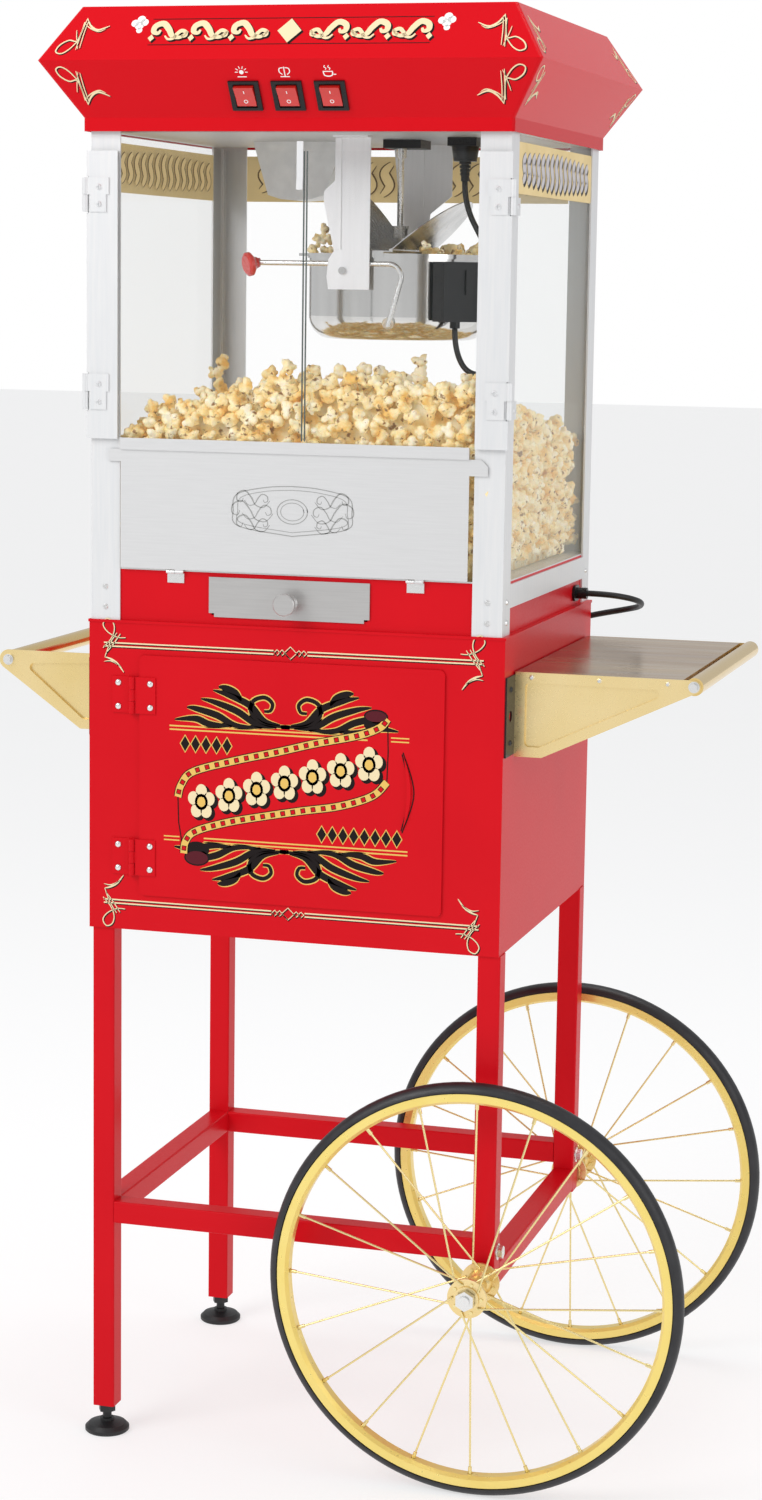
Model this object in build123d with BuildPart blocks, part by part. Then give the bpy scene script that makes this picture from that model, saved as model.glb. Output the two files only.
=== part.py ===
# Popcorn cart: a four-post popcorn machine on a cabinet with legs and two spoked wheels.
# Units are millimetres. X is right, Y is back, Z is up. The origin is on the floor,
# in the middle of the cart's outline without its mains cord.
from build123d import *
from math import cos, pi, radians, sin, sqrt, tan
import os

os.makedirs("parts", exist_ok=True)

# ---------------------------------------------------------------- driving dimensions
CAB_W, CAB_D = 466.0, 422.0          # cabinet, left to right and front to back
CAB_Z0, CAB_Z1 = 586.0, 928.0        # cabinet bottom and top
SHEET = 1.5                          # cabinet and bracket sheet thickness

TUBE, TUBE_WALL = 25.0, 1.5          # square frame tube
LEFT_LEG_INSET = 3.0                 # left legs, inward from the cabinet's left face
RIGHT_LEG_STEP = 1.0                 # right legs, outward from the cabinet's right face
LEG_Y_INSET = 2.5                    # all legs, inward from the front and back faces
LEFT_LEG_Z0 = 32.0                   # left legs end above their levelling feet
RAIL_Z0 = 248.0                      # underside of the front, rear and left rails

WHEEL_R = 228.6                      # 18 inch wheel
WHEEL_GAP = 38.5                     # wheel mid plane, outward from the leg's face
SPOKES_PER_FLANGE = 10
FLANGE_R, FLANGE_T, FLANGE_OFF = 21.5, 3.0, 28.0
SPOKE_HOLE_R = 16.0                  # radius of the circle of spoke holes
SPOKE_R = 1.1
RIM_R = 206.3                        # inner radius of the rim
AXLE_R = 6.0
RUN = 0.05                           # radial clearance of a running fit

HANDLE_REACH, EAR_R = 112.0, 11.0    # push handle bar, outward from the cabinet
SHELF_REACH = 194.0                  # shelf bar, outward from the cabinet
BAR_R = 9.5
SIDE_Y0, SIDE_Y1 = 40.0, 400.0       # bracket faces, back from the cabinet's front

POST = 33.0                          # face of a machine corner post
POST_T = 2.0
DECK_Z = 985.0                       # popcorn deck
SKIRT_Z0 = 1448.0                    # underside of the canopy
DOOR_Z0, DOOR_Z1 = 1127.0, 1428.0    # glass doors
DOOR_SPLIT = 242.5                   # where the doors meet, from the cabinet's left face

KETTLE_R = 100.0
KETTLE_Z0, KETTLE_Z1 = 1232.0, 1325.0
KETTLE_IN = 285.0                    # kettle axis, from the cabinet's left face
PIVOT_IN, PIVOT_Z = 252.0, 1306.0    # kettle tilt axis
LID_LEFT_DEG, LID_RIGHT_DEG = 58.0, 40.0

CORD_R, LEAD_R = 3.5, 3.1            # mains cord and kettle lead

# ---------------------------------------------------------------- placed references
AXLE_IN = TUBE / 2 - RIGHT_LEG_STEP  # axle, inward from the cabinet's right face
SPAN_LEFT = HANDLE_REACH + EAR_R
SPAN_RIGHT = CAB_W - AXLE_IN + WHEEL_R
XL = (SPAN_LEFT - SPAN_RIGHT) / 2    # cabinet left face
XR = XL + CAB_W
YF, YB = -CAB_D / 2, CAB_D / 2       # cabinet front and back faces
AXLE_X, AXLE_Z = XR - AXLE_IN, WHEEL_R
FRAME_YF, FRAME_YB = YF + LEG_Y_INSET, YB - LEG_Y_INSET
LEFT_LEG_X = XL + LEFT_LEG_INSET + TUBE / 2
LEG_YF, LEG_YB = FRAME_YF + TUBE / 2, FRAME_YB - TUBE / 2
WHEEL_YF, WHEEL_YB = FRAME_YF - WHEEL_GAP, FRAME_YB + WHEEL_GAP
KX, KY = XL + KETTLE_IN, YF + CAB_D / 2


# ---------------------------------------------------------------- helpers
def save(piece, name):
    """Label a finished piece and write its STEP file."""
    piece.part.label = name
    export_step(piece.part, f"parts/{name}.step")


def at(x, y, z):
    """Point from distances to the cabinet's left face, its front face and the floor."""
    return (XL + x, YF + y, z)


def block(x0, x1, y0, y1, z0, z1, mode=Mode.ADD):
    """Box between two opposite corners, each given as for at()."""
    with Locations(at((x0 + x1) / 2, (y0 + y1) / 2, (z0 + z1) / 2)):
        Box(x1 - x0, y1 - y0, z1 - z0, mode=mode)


def plate(outline, y0, thickness, round_off=0.0, mode=Mode.ADD):
    """Flat plate facing front: an outline of x and z distances, y0 to y0 + thickness."""
    with BuildSketch(Plane(origin=at(0, y0, 0), x_dir=(1, 0, 0), z_dir=(0, -1, 0))) as face:
        with BuildLine():
            Polyline(*outline, close=True)
        make_face()
        if round_off > 0:
            fillet(face.vertices(), radius=round_off)
    extrude(to_extrude=face.sketch, amount=-thickness, mode=mode)


def rod(start, end, radius, mode=Mode.ADD):
    """Round rod between two points."""
    run = Vector(end) - Vector(start)
    with Locations(Plane(origin=start, z_dir=run)):
        Cylinder(radius, run.length, align=(Align.CENTER, Align.CENTER, Align.MIN), mode=mode)


def cone(start, end, radius_a, radius_b):
    """Tapered rod between two points."""
    run = Vector(*end) - Vector(*start)
    with Locations(Plane(origin=start, z_dir=run)):
        Cone(radius_a, radius_b, run.length, align=(Align.CENTER, Align.CENTER, Align.MIN))


def nut(start, end, across_flats, bore):
    """Hexagonal nut, or a hexagonal bolt head if the bore is 0."""
    run = Vector(*end) - Vector(*start)
    with BuildSketch(Plane(origin=start, z_dir=run)) as hexagon:
        RegularPolygon(across_flats / 2, 6, major_radius=False)
        if bore > 0:
            Circle(bore, mode=Mode.SUBTRACT)
    extrude(to_extrude=hexagon.sketch, amount=run.length)


def screw_head(centre, direction, radius, height=1.8):
    """Low domed screw head with a cross slot, standing on a face."""
    seat = Plane(origin=centre, z_dir=direction)
    with Locations(seat):
        Cone(radius, radius * 0.62, height, align=(Align.CENTER, Align.CENTER, Align.MIN))
    with Locations(seat.offset(height)):
        Box(radius * 1.1, radius * 0.24, height, mode=Mode.SUBTRACT)
        Box(radius * 0.24, radius * 1.1, height, mode=Mode.SUBTRACT)


def square_tube(start, end, face_dir):
    """Hollow square tube with rounded corners between two points."""
    run = Vector(*end) - Vector(*start)
    with BuildSketch(Plane(origin=start, x_dir=face_dir, z_dir=run)) as section:
        RectangleRounded(TUBE, TUBE, 2.0)
        inner = TUBE - 2 * TUBE_WALL
        RectangleRounded(inner, inner, 1.0, mode=Mode.SUBTRACT)
    extrude(to_extrude=section.sketch, amount=run.length)


# ---------------------------------------------------------------- leg frame
RIGHT_LEG_Z0 = AXLE_Z - TUBE / 2 - 2.5
with BuildPart() as legs:
    for leg_y in (LEG_YF, LEG_YB):
        square_tube((LEFT_LEG_X, leg_y, LEFT_LEG_Z0), (LEFT_LEG_X, leg_y, CAB_Z0), (1, 0, 0))
        square_tube((AXLE_X, leg_y, RIGHT_LEG_Z0), (AXLE_X, leg_y, CAB_Z0), (1, 0, 0))
    rod((AXLE_X, YF, AXLE_Z), (AXLE_X, YB, AXLE_Z), AXLE_R + RUN, mode=Mode.SUBTRACT)
save(legs, "legs")

RAIL_Z = RAIL_Z0 + TUBE / 2
LEG_IN_L, LEG_IN_R = LEFT_LEG_X + TUBE / 2, AXLE_X - TUBE / 2
LEG_IN_F, LEG_IN_B = LEG_YF + TUBE / 2, LEG_YB - TUBE / 2
with BuildPart() as rails:
    for rail_y in (LEG_YF, LEG_YB):
        square_tube((LEG_IN_L, rail_y, RAIL_Z), (LEG_IN_R, rail_y, RAIL_Z), (0, 1, 0))
    square_tube((LEFT_LEG_X, LEG_IN_F, RAIL_Z), (LEFT_LEG_X, LEG_IN_B, RAIL_Z), (1, 0, 0))
    square_tube((AXLE_X, LEG_IN_F, AXLE_Z), (AXLE_X, LEG_IN_B, AXLE_Z), (1, 0, 0))
save(rails, "rails")


def foot(name, leg_y):
    """Levelling foot: rubber pad, threaded stem and lock nut."""
    with BuildPart() as levelling_foot:
        with BuildSketch(Plane(origin=(LEFT_LEG_X, leg_y, 0), x_dir=(1, 0, 0), z_dir=(0, -1, 0))):
            with BuildLine():
                Polyline((0, 0), (23.5, 0), (25, 1.5), (25, 5), (21, 9), (8, 12), (8, 15), (0, 15), (0, 0))
            make_face()
        revolve(axis=Axis((LEFT_LEG_X, leg_y, 0), (0, 0, 1)))
        rod((LEFT_LEG_X, leg_y, 15.2), (LEFT_LEG_X, leg_y, 70), 5.0)
        nut((LEFT_LEG_X, leg_y, 23), (LEFT_LEG_X, leg_y, 31.6), 17.0, 0)
    save(levelling_foot, name)


foot("front_foot", LEG_YF)
foot("rear_foot", LEG_YB)

# ---------------------------------------------------------------- axle and wheels
AXLE_END = WHEEL_YB + 43.0
with BuildPart() as axle:
    rod((AXLE_X, -AXLE_END, AXLE_Z), (AXLE_X, AXLE_END, AXLE_Z), AXLE_R)
    for side in (-1, 1):
        hub_end = WHEEL_YB + 32.0
        nut((AXLE_X, side * (hub_end + 0.5), AXLE_Z), (AXLE_X, side * (hub_end + 8.5), AXLE_Z), 19.0, 0)
        rod((AXLE_X, side * (FRAME_YB + 0.2), AXLE_Z), (AXLE_X, side * (FRAME_YB + 6.0), AXLE_Z), 9.5)
save(axle, "axle")


def wheel(prefix, mid_y):
    """Tyre, rim, spokes with nipples, and hub with two bearings, all about one axis."""
    centre = (AXLE_X, mid_y, AXLE_Z)
    spin = Axis(centre, (0, 1, 0))
    section = Plane(origin=centre, x_dir=(1, 0, 0), z_dir=(0, 0, 1))
    disc = Plane(origin=centre, x_dir=(1, 0, 0), z_dir=(0, 1, 0))
    bead_r, wall_r, lip_r = RIM_R + 4.7, RIM_R + 12.1, RIM_R + 11.7

    with BuildPart() as tyre:
        with BuildSketch(section):
            with BuildLine():
                Polyline((wall_r, 8.8), (bead_r, 8.5), (bead_r, -8.5), (wall_r, -8.8), (wall_r + 0.8, -11.5))
                ThreePointArc((wall_r + 0.8, -11.5), (WHEEL_R, 0), (wall_r + 0.8, 11.5))
                Line((wall_r + 0.8, 11.5), (wall_r, 8.8))
            make_face()
        revolve(axis=spin)
    save(tyre, prefix + "_tyre")

    with BuildPart() as rim:
        with BuildSketch(section):
            with BuildLine():
                Polyline((lip_r, 10.5), (RIM_R + 3.2, 10.5), (RIM_R, 6), (RIM_R, -6), (RIM_R + 3.2, -10.5),
                         (lip_r, -10.5), (lip_r, -9), (RIM_R + 4, -9), (RIM_R + 1.6, -5.4),
                         (RIM_R + 1.6, 5.4), (RIM_R + 4, 9), (lip_r, 9), (lip_r, 10.5))
            make_face()
        revolve(axis=spin)
        with Locations(disc):
            with PolarLocations(RIM_R + 1, 2 * SPOKES_PER_FLANGE):
                Cylinder(2.6, 6, rotation=(0, 90, 0), mode=Mode.SUBTRACT)
    save(rim, prefix + "_rim")

    with BuildPart() as hub:
        hub_half = 32.0
        with BuildSketch(section):
            with BuildLine():
                Polyline((11, hub_half), (13.5, hub_half), (13.5, FLANGE_OFF + FLANGE_T / 2),
                         (FLANGE_R, FLANGE_OFF + FLANGE_T / 2), (FLANGE_R, FLANGE_OFF - FLANGE_T / 2),
                         (14, FLANGE_OFF - FLANGE_T / 2), (10, FLANGE_OFF - 9), (10, 9 - FLANGE_OFF),
                         (14, FLANGE_T / 2 - FLANGE_OFF), (FLANGE_R, FLANGE_T / 2 - FLANGE_OFF),
                         (FLANGE_R, -FLANGE_T / 2 - FLANGE_OFF), (13.5, -FLANGE_T / 2 - FLANGE_OFF),
                         (13.5, -hub_half), (11, -hub_half), (11, 8 - hub_half), (8, 8 - hub_half),
                         (8, hub_half - 8), (11, hub_half - 8), (11, hub_half))
            make_face()
        revolve(axis=spin)
        for side in (-1, 1):
            with Locations(disc.offset(side * FLANGE_OFF)):
                with PolarLocations(SPOKE_HOLE_R, SPOKES_PER_FLANGE, start_angle=9 + side * 9):
                    Cylinder(1.35, 8, mode=Mode.SUBTRACT)
        for side in (-1, 1):
            with BuildSketch(disc.offset(side * (hub_half - 4) - 3.6)) as race:
                Circle(10.9)
                Circle(AXLE_R + RUN, mode=Mode.SUBTRACT)
            extrude(to_extrude=race.sketch, amount=7.2)
    save(hub, prefix + "_hub")

    with BuildPart() as spokes:
        step = 360 / SPOKES_PER_FLANGE
        for side in (-1, 1):
            for number in range(SPOKES_PER_FLANGE):
                lead = 1 if number % 2 == 0 else -1
                hole = radians(9 + side * 9 + step * number)
                rim_angle = hole + radians(step) * lead
                slack = 1.5 if lead == side else 0.1
                face = side * FLANGE_OFF + lead * (FLANGE_T / 2 + SPOKE_R + slack)
                across = side * FLANGE_OFF - lead * (FLANGE_T / 2 + 0.1)
                hole_x = AXLE_X + SPOKE_HOLE_R * cos(hole)
                hole_z = AXLE_Z - SPOKE_HOLE_R * sin(hole)
                seat_r = RIM_R + 0.8
                start = Vector(hole_x, mid_y + face, hole_z)
                seat = Vector(AXLE_X + seat_r * cos(rim_angle), mid_y,
                              AXLE_Z - seat_r * sin(rim_angle))
                along = (seat - start).normalized()
                rod(tuple(start), tuple(seat - along * 8), SPOKE_R)
                rod(tuple(seat - along * 8.2), tuple(seat + along * 1.2), 2.0)
                rod((hole_x, mid_y + face, hole_z), (hole_x, mid_y + across, hole_z), SPOKE_R)
                rod((hole_x, mid_y + across, hole_z), (hole_x, mid_y + across - lead * 1.2, hole_z), 1.9)
    save(spokes, prefix + "_spokes")


wheel("front_wheel", WHEEL_YF)
wheel("rear_wheel", WHEEL_YB)

# ---------------------------------------------------------------- cabinet
OPEN_X0, OPEN_X1, OPEN_Z0, OPEN_Z1 = 66.0, 396.0, 634.0, 883.0
with BuildPart() as cabinet_shell:
    block(0, CAB_W, 0, CAB_D, CAB_Z0, CAB_Z1)
    block(-1, CAB_W + 1, -1, CAB_D + 1, CAB_Z1 - 3, CAB_Z1)
    block(SHEET, CAB_W - SHEET, SHEET, CAB_D - SHEET, CAB_Z0 + SHEET, CAB_Z1 - SHEET, mode=Mode.SUBTRACT)
    block(OPEN_X0 - SHEET, OPEN_X1 + SHEET, 0, 14, OPEN_Z0 - SHEET, OPEN_Z1 + SHEET)
    block(OPEN_X0, OPEN_X1, -1, 20, OPEN_Z0, OPEN_Z1, mode=Mode.SUBTRACT)
save(cabinet_shell, "cabinet_shell")

DOOR_OUT = -2.5                      # front face of the cabinet door
with BuildPart() as cabinet_door:
    rim_outline = [(59, 626), (402, 626), (402, 891), (59, 891)]
    plate(rim_outline, DOOR_OUT, 2.0, round_off=6)
    block(60.5, 400.5, DOOR_OUT + SHEET, 0, 627.5, 889.5, mode=Mode.SUBTRACT)
    block(74, 388, DOOR_OUT + SHEET, 9, 642, 875)
    block(75.2, 386.8, DOOR_OUT + SHEET, 7.8, 643.2, 873.8, mode=Mode.SUBTRACT)
save(cabinet_door, "cabinet_door")

CAB_HINGES = [(648, 688), (827, 867)]
CAB_PIN_X, CAB_PIN_Y = 51.0, -4.2
with BuildPart() as cabinet_fittings:
    for low, high in CAB_HINGES:
        third = (high - low) / 3
        block(27, 49.5, -1.5, 0, low, high)
        for base in (low, high - third):
            block(47, CAB_PIN_X, -4.2, -1, base, base + third)
            rod(at(CAB_PIN_X, CAB_PIN_Y, base), at(CAB_PIN_X, CAB_PIN_Y, base + third), 3.2)
        block(49.2, 53, -3.5, 0.2, low + third, high - third, mode=Mode.SUBTRACT)
        rod(at(CAB_PIN_X, CAB_PIN_Y, low), at(CAB_PIN_X, CAB_PIN_Y, high), 1.5)
        for height in (low + 7, high - 7):
            screw_head(at(34.3, -1.5, height), (0, -1, 0), 3.2)
    block(378, 394.5, 14.5, 34, 740, 780)
    block(390, 396, 14.2, 16, 744, 776)
save(cabinet_fittings, "cabinet_fittings")

with BuildPart() as door_fittings:
    for low, high in CAB_HINGES:
        third = (high - low) / 3
        block(54.6, 78, DOOR_OUT - 1.5, DOOR_OUT, low, high)
        block(CAB_PIN_X, 56, -4.2, DOOR_OUT, low + third + 0.3, high - third - 0.3)
        rod(at(CAB_PIN_X, CAB_PIN_Y, low + third + 0.3), at(CAB_PIN_X, CAB_PIN_Y, high - third - 0.3), 3.2)
        rod(at(CAB_PIN_X, CAB_PIN_Y, low), at(CAB_PIN_X, CAB_PIN_Y, high), 1.5 + RUN, mode=Mode.SUBTRACT)
        for height in (low + 7, high - 7):
            screw_head(at(72, DOOR_OUT - 1.5, height), (0, -1, 0), 3.2)
    with BuildSketch(Plane(origin=at(0, DOOR_OUT, 0), x_dir=(1, 0, 0), z_dir=(0, -1, 0))) as crescent:
        with BuildLine():
            ThreePointArc((359, 720), (367, 757.5), (359, 795))
            ThreePointArc((359, 795), (362.5, 757.5), (359, 720))
        make_face()
    extrude(to_extrude=crescent.sketch, amount=2.5)
save(door_fittings, "door_fittings")

# ---------------------------------------------------------------- shelf and push handle
SHELF_TIP = (SHELF_REACH + CAB_W, 881.0)
HANDLE_TIP = (-HANDLE_REACH, 873.5)
PRESS = 3.5                          # depth of the pressed triangle in each bracket


def bracket(wall_x, tip, tip_r, top, foot_x, foot_z, panel, y_out, inward):
    """Side bracket: a flat sheet with a rounded tip and a triangle pressed inward."""
    side = Plane(origin=at(0, y_out, 0), x_dir=(1, 0, 0), z_dir=(0, -1, 0))
    with BuildSketch(side) as outline:
        with BuildLine():
            Polyline((wall_x, foot_z), (foot_x, foot_z), (foot_x, top), (wall_x, top), close=True)
        make_face()
        with Locations(tip):
            Circle(tip_r)
        make_hull()
    extrude(to_extrude=outline.sketch, amount=-SHEET * inward)
    for depth, grow, mode in ((PRESS + SHEET, SHEET, Mode.ADD), (PRESS, 0, Mode.SUBTRACT)):
        with BuildSketch(side) as dish:
            with BuildLine():
                Polyline(*panel, close=True)
            make_face()
            fillet(dish.vertices(), radius=5)
            if grow > 0:
                offset(amount=grow)
        extrude(to_extrude=dish.sketch, amount=-depth * inward, mode=mode)


SHELF_PANEL = [(479, 877), (479, 808), (495, 808), (640, 876)]
HANDLE_PANEL = [(-11, 874), (-11, 811), (-24, 811), (-95, 870)]
SIDES = ((SIDE_Y0, 1), (SIDE_Y1, -1))
with BuildPart() as side_brackets:
    for face_y, inward in SIDES:
        bracket(CAB_W + 2, SHELF_TIP, 7.0, 888, CAB_W + 32, 797, SHELF_PANEL, face_y, inward)
        bracket(0, HANDLE_TIP, EAR_R, 884.5, -27, 800, HANDLE_PANEL, face_y, inward)
save(side_brackets, "side_brackets")

SIDE_IN0, SIDE_IN1 = SIDE_Y0 + SHEET, SIDE_Y1 - SHEET
with BuildPart() as side_bars:
    for bar_x, bar_z in (SHELF_TIP, HANDLE_TIP):
        rod(at(bar_x, SIDE_IN0, bar_z), at(bar_x, SIDE_IN1, bar_z), BAR_R)
save(side_bars, "side_bars")

with BuildPart() as shelf_plate:
    lip = 9.0
    block(CAB_W + 2, 648, SIDE_IN0, SIDE_IN1, 886.5, 888)
    block(CAB_W + 2, CAB_W + 2 + SHEET, SIDE_IN0, SIDE_IN1, 888 - 20, 888)
    for lip_y in (SIDE_IN0, SIDE_IN1 - SHEET):
        block(CAB_W + 2, 648, lip_y, lip_y + SHEET, 888 - lip, 888)
    block(648 - SHEET, 648, SIDE_IN0, SIDE_IN1, 888 - lip, 888)
save(shelf_plate, "shelf_plate")

FLANGES = ((SIDE_Y0 - 36, SIDE_Y0), (SIDE_Y1, SIDE_Y1 + 20))
with BuildPart() as bracket_flanges:
    for wall, out in ((CAB_W, 1), (0, -1)):
        low_x, high_x = sorted((wall, wall + 2 * out))
        for low_y, high_y in FLANGES:
            middle = (low_y + high_y) / 2
            block(low_x, high_x, low_y, high_y, 800, 885)
            rod(at(low_x - 1, middle, 842.5), at(high_x + 1, middle, 842.5), 6, mode=Mode.SUBTRACT)
            for hole_z in (814, 871):
                screw_head(at(wall + 2 * out, middle, hole_z), (out, 0, 0), 3.5)
save(bracket_flanges, "bracket_flanges")

# ---------------------------------------------------------------- machine body
BASE_X0, BASE_X1, BASE_Y0, BASE_Y1 = 4.0, 460.0, 3.0, 419.0
with BuildPart() as machine_base:
    block(BASE_X0, BASE_X1, BASE_Y0, BASE_Y1, CAB_Z1, DECK_Z - 1.5)
    block(BASE_X0 + SHEET, BASE_X1 - SHEET, BASE_Y0 + SHEET, BASE_Y1 - SHEET, CAB_Z1 + SHEET, DECK_Z,
          mode=Mode.SUBTRACT)
    block(139.5, 314.5, 0, 10, 938, 977, mode=Mode.SUBTRACT)
save(machine_base, "machine_base")

with BuildPart() as popcorn_deck:
    block(BASE_X0, BASE_X1, BASE_Y0, BASE_Y1, DECK_Z - 1.5, DECK_Z)
    with Locations(at(CAB_W / 2 - 1, CAB_D / 2, DECK_Z - 0.75)):
        with GridLocations(38, 38, 9, 8):
            Cylinder(5, 6, mode=Mode.SUBTRACT)
save(popcorn_deck, "popcorn_deck")

PIN_YG = -5.0                        # glass door hinge axis, from the cabinet's front face
PIN_XL, PIN_XR = -2.5, 466.5
GLASS_HINGES = [(1155, 1193), (1364, 1400)]


def angle_post(corner_x, corner_y, to_x, to_y):
    """Corner post: an upright angle opening toward the machine's middle."""
    low_x, high_x = sorted((corner_x, corner_x + POST * to_x))
    low_y, high_y = sorted((corner_y, corner_y + POST * to_y))
    block(low_x, high_x, low_y, high_y, CAB_Z1, 1475)
    cut_x = sorted((corner_x + POST_T * to_x, corner_x + 40 * to_x))
    cut_y = sorted((corner_y + POST_T * to_y, corner_y + 40 * to_y))
    block(cut_x[0], cut_x[1], cut_y[0], cut_y[1], CAB_Z1 - 1, 1476, mode=Mode.SUBTRACT)


with BuildPart() as aluminium_frame:
    angle_post(2, 1, 1, 1)
    angle_post(462, 1, -1, 1)
    angle_post(2, 421, 1, -1)
    angle_post(462, 421, -1, -1)
    for rail_x in (2, 460):
        block(rail_x, rail_x + 2, 34.2, 387.8, 956, 981)
    block(35.2, 428.8, 419, 421, 956, 981)
    for pin_x, out, post_x in ((PIN_XL, -1, 2), (PIN_XR, 1, 462)):
        for low, high in GLASS_HINGES:
            middle = (low + high) / 2
            leaf = sorted((pin_x - 0.2, pin_x + 1.3)) if out < 0 else sorted((pin_x - 1.3, pin_x + 0.2))
            block(leaf[0], leaf[1], PIN_YG, 24, low, middle)
            gap = sorted((leaf[1] - 0.2, post_x)) if out < 0 else sorted((post_x, leaf[0] + 0.2))
            block(gap[0], gap[1], 4, 24, low, middle)
            rod(at(pin_x, PIN_YG, low), at(pin_x, PIN_YG, middle), 3.3)
            rod(at(pin_x, PIN_YG, middle - 1), at(pin_x, PIN_YG, high - 3), 1.5)
            screw_head(at(leaf[0] if out < 0 else leaf[1], 14, low + 9), (out, 0, 0), 3)
save(aluminium_frame, "aluminium_frame")

PANE_Z1 = SKIRT_Z0
with BuildPart() as fixed_panes:
    block(457, 459.8, 4, 414, DECK_Z + 0.2, PANE_Z1)
    block(4.2, 7, 4, 414, DECK_Z + 0.2, PANE_Z1)
    block(8, 456, 414.8, 417.6, DECK_Z + 0.2, PANE_Z1)
save(fixed_panes, "fixed_panes")

with BuildPart() as sign_panels:
    block(459.8, 461, 35, 387, 1387, 1440)
    block(3, 4.2, 35, 387, 1387, 1440)
    block(36, 428, 417.6, 418.8, 1387, 1440)
save(sign_panels, "sign_panels")

FLAP_Y, FLAP_Z = -1.1, 983.0         # flap hinge axis
FLAP_TABS = (89.5, 357.5)
with BuildPart() as flap_tabs:
    for tab in FLAP_TABS:
        block(tab, tab + 19, 1.5, 3, 971, 981.4)
        block(tab, tab + 9, -1, 3, 981, 983.5)
        rod(at(tab, FLAP_Y, FLAP_Z), at(tab + 9, FLAP_Y, FLAP_Z), 2.0)
save(flap_tabs, "flap_tabs")

with BuildPart() as front_flap:
    flap_outline = [(36.5, 985.5), (424, 985.5), (424, 1096), (444, 1096), (444, 1106), (437, 1113),
                    (424, 1113), (424, 1125.5), (36.5, 1125.5), (36.5, 1113), (22.7, 1113),
                    (22.7, 1100), (36.5, 1100)]
    plate(flap_outline, -1.7, 1.2)
    block(36.5, 424, -4.2, -1.6, 1113, 1125.5)
    for tab in FLAP_TABS:
        block(tab + 9.4, tab + 19, FLAP_Y - 0.6, FLAP_Y + 0.6, 983, 986)
        rod(at(tab + 9.4, FLAP_Y, FLAP_Z), at(tab + 19, FLAP_Y, FLAP_Z), 2.0)
save(front_flap, "front_flap")

PULL_X, PULL_Z = 228.0, 954.3        # drawer pull
with BuildPart() as kernel_drawer:
    drawer_outline = [(143, 936), (311, 936), (311, 940), (317, 940), (317, 979), (137, 979),
                      (137, 940), (143, 940)]
    plate(drawer_outline, 1.0, 1.5)
    block(141, 313, 2.5, 330, 940, 974)
    block(142.2, 311.8, 3.7, 328.8, 941.2, 980, mode=Mode.SUBTRACT)
    rod(at(PULL_X, 1, PULL_Z), at(PULL_X, -15, PULL_Z), 6.0)
    cone(at(PULL_X, 1, PULL_Z), at(PULL_X, -2, PULL_Z), 9, 6.5)
    cone(at(PULL_X, -12, PULL_Z), at(PULL_X, -16, PULL_Z), 6.5, 12)
    rod(at(PULL_X, -16, PULL_Z), at(PULL_X, -20, PULL_Z), 12)
    cone(at(PULL_X, -20, PULL_Z), at(PULL_X, -21, PULL_Z), 12, 11)
save(kernel_drawer, "kernel_drawer")

GLAND = (475.0, 358.0, 942.0)
with BuildPart() as cord_gland:
    with BuildSketch(Plane(origin=at(460, GLAND[1], GLAND[2]), x_dir=(0, 1, 0), z_dir=(1, 0, 0))):
        SlotOverall(30, 18)
    extrude(amount=3)
    rod(at(462.9, GLAND[1], GLAND[2]), at(*GLAND), 6.5)
save(cord_gland, "cord_gland")

# ---------------------------------------------------------------- glass doors
STILE = 35.0


def door_pane(name, x0, x1):
    """Glass pane of one door."""
    with BuildPart() as pane:
        block(x0, x1, -3.9, -2.1, DOOR_Z0, DOOR_Z1)
    save(pane, name)


def door_frame(name, pin_x, edge, inward, latch):
    """Door stile, its hinge leaves and, on one door, the latch."""
    with BuildPart() as frame:
        far = edge + STILE * inward
        low, high = sorted((edge, far))
        block(low, high, -5, -1, DOOR_Z0 - 3, DOOR_Z1)
        slot = sorted((edge + 1.6 * inward, far + 2 * inward))
        block(slot[0], slot[1], -3.9, -2.1, DOOR_Z0 - 4, DOOR_Z1 + 1, mode=Mode.SUBTRACT)
        for z0, z1 in GLASS_HINGES:
            rod(at(pin_x, PIN_YG, z0 - 1), at(pin_x, PIN_YG, z1 + 1), 3.9, mode=Mode.SUBTRACT)
            middle = (z0 + z1) / 2
            upper = sorted((pin_x, pin_x + 27 * inward))
            lower = sorted((pin_x + 5.5 * inward, pin_x + 24 * inward))
            block(upper[0], upper[1], -6.6, -5, middle + 0.3, z1)
            block(lower[0], lower[1], -6.6, -5, z0, middle + 0.3)
            rod(at(pin_x, PIN_YG, middle + 0.3), at(pin_x, PIN_YG, z1), 3.3)
            rod(at(pin_x, PIN_YG, middle), at(pin_x, PIN_YG, z1 - 3), 1.5 + RUN, mode=Mode.SUBTRACT)
            for screw_z in (middle + 8, z0 + 8):
                screw_head(at(pin_x + 16 * inward, -6.6, screw_z), (0, -1, 0), 3.4)
        if latch:
            block(233, 240, -4.8, -3.9, 1388.4, DOOR_Z1 + 10)
            block(233, 240, -5.8, -4.8, 1388.4, 1398)
    save(frame, name)


door_pane("left_door_pane", 0.6, DOOR_SPLIT - 1)
door_frame("left_door_frame", PIN_XL, -1, 1, True)
door_pane("right_door_pane", DOOR_SPLIT + 1, 463.4)
door_frame("right_door_frame", PIN_XR, 465, -1, False)

# ---------------------------------------------------------------- canopy
CANOPY_X, CANOPY_Y = 231.0, CAB_D / 2
CANOPY_SECTIONS = [(SKIRT_Z0, 235, 218), (1462, 235, 218), (1519, 272, 256.5), (1576.5, 236, 220)]


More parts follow.
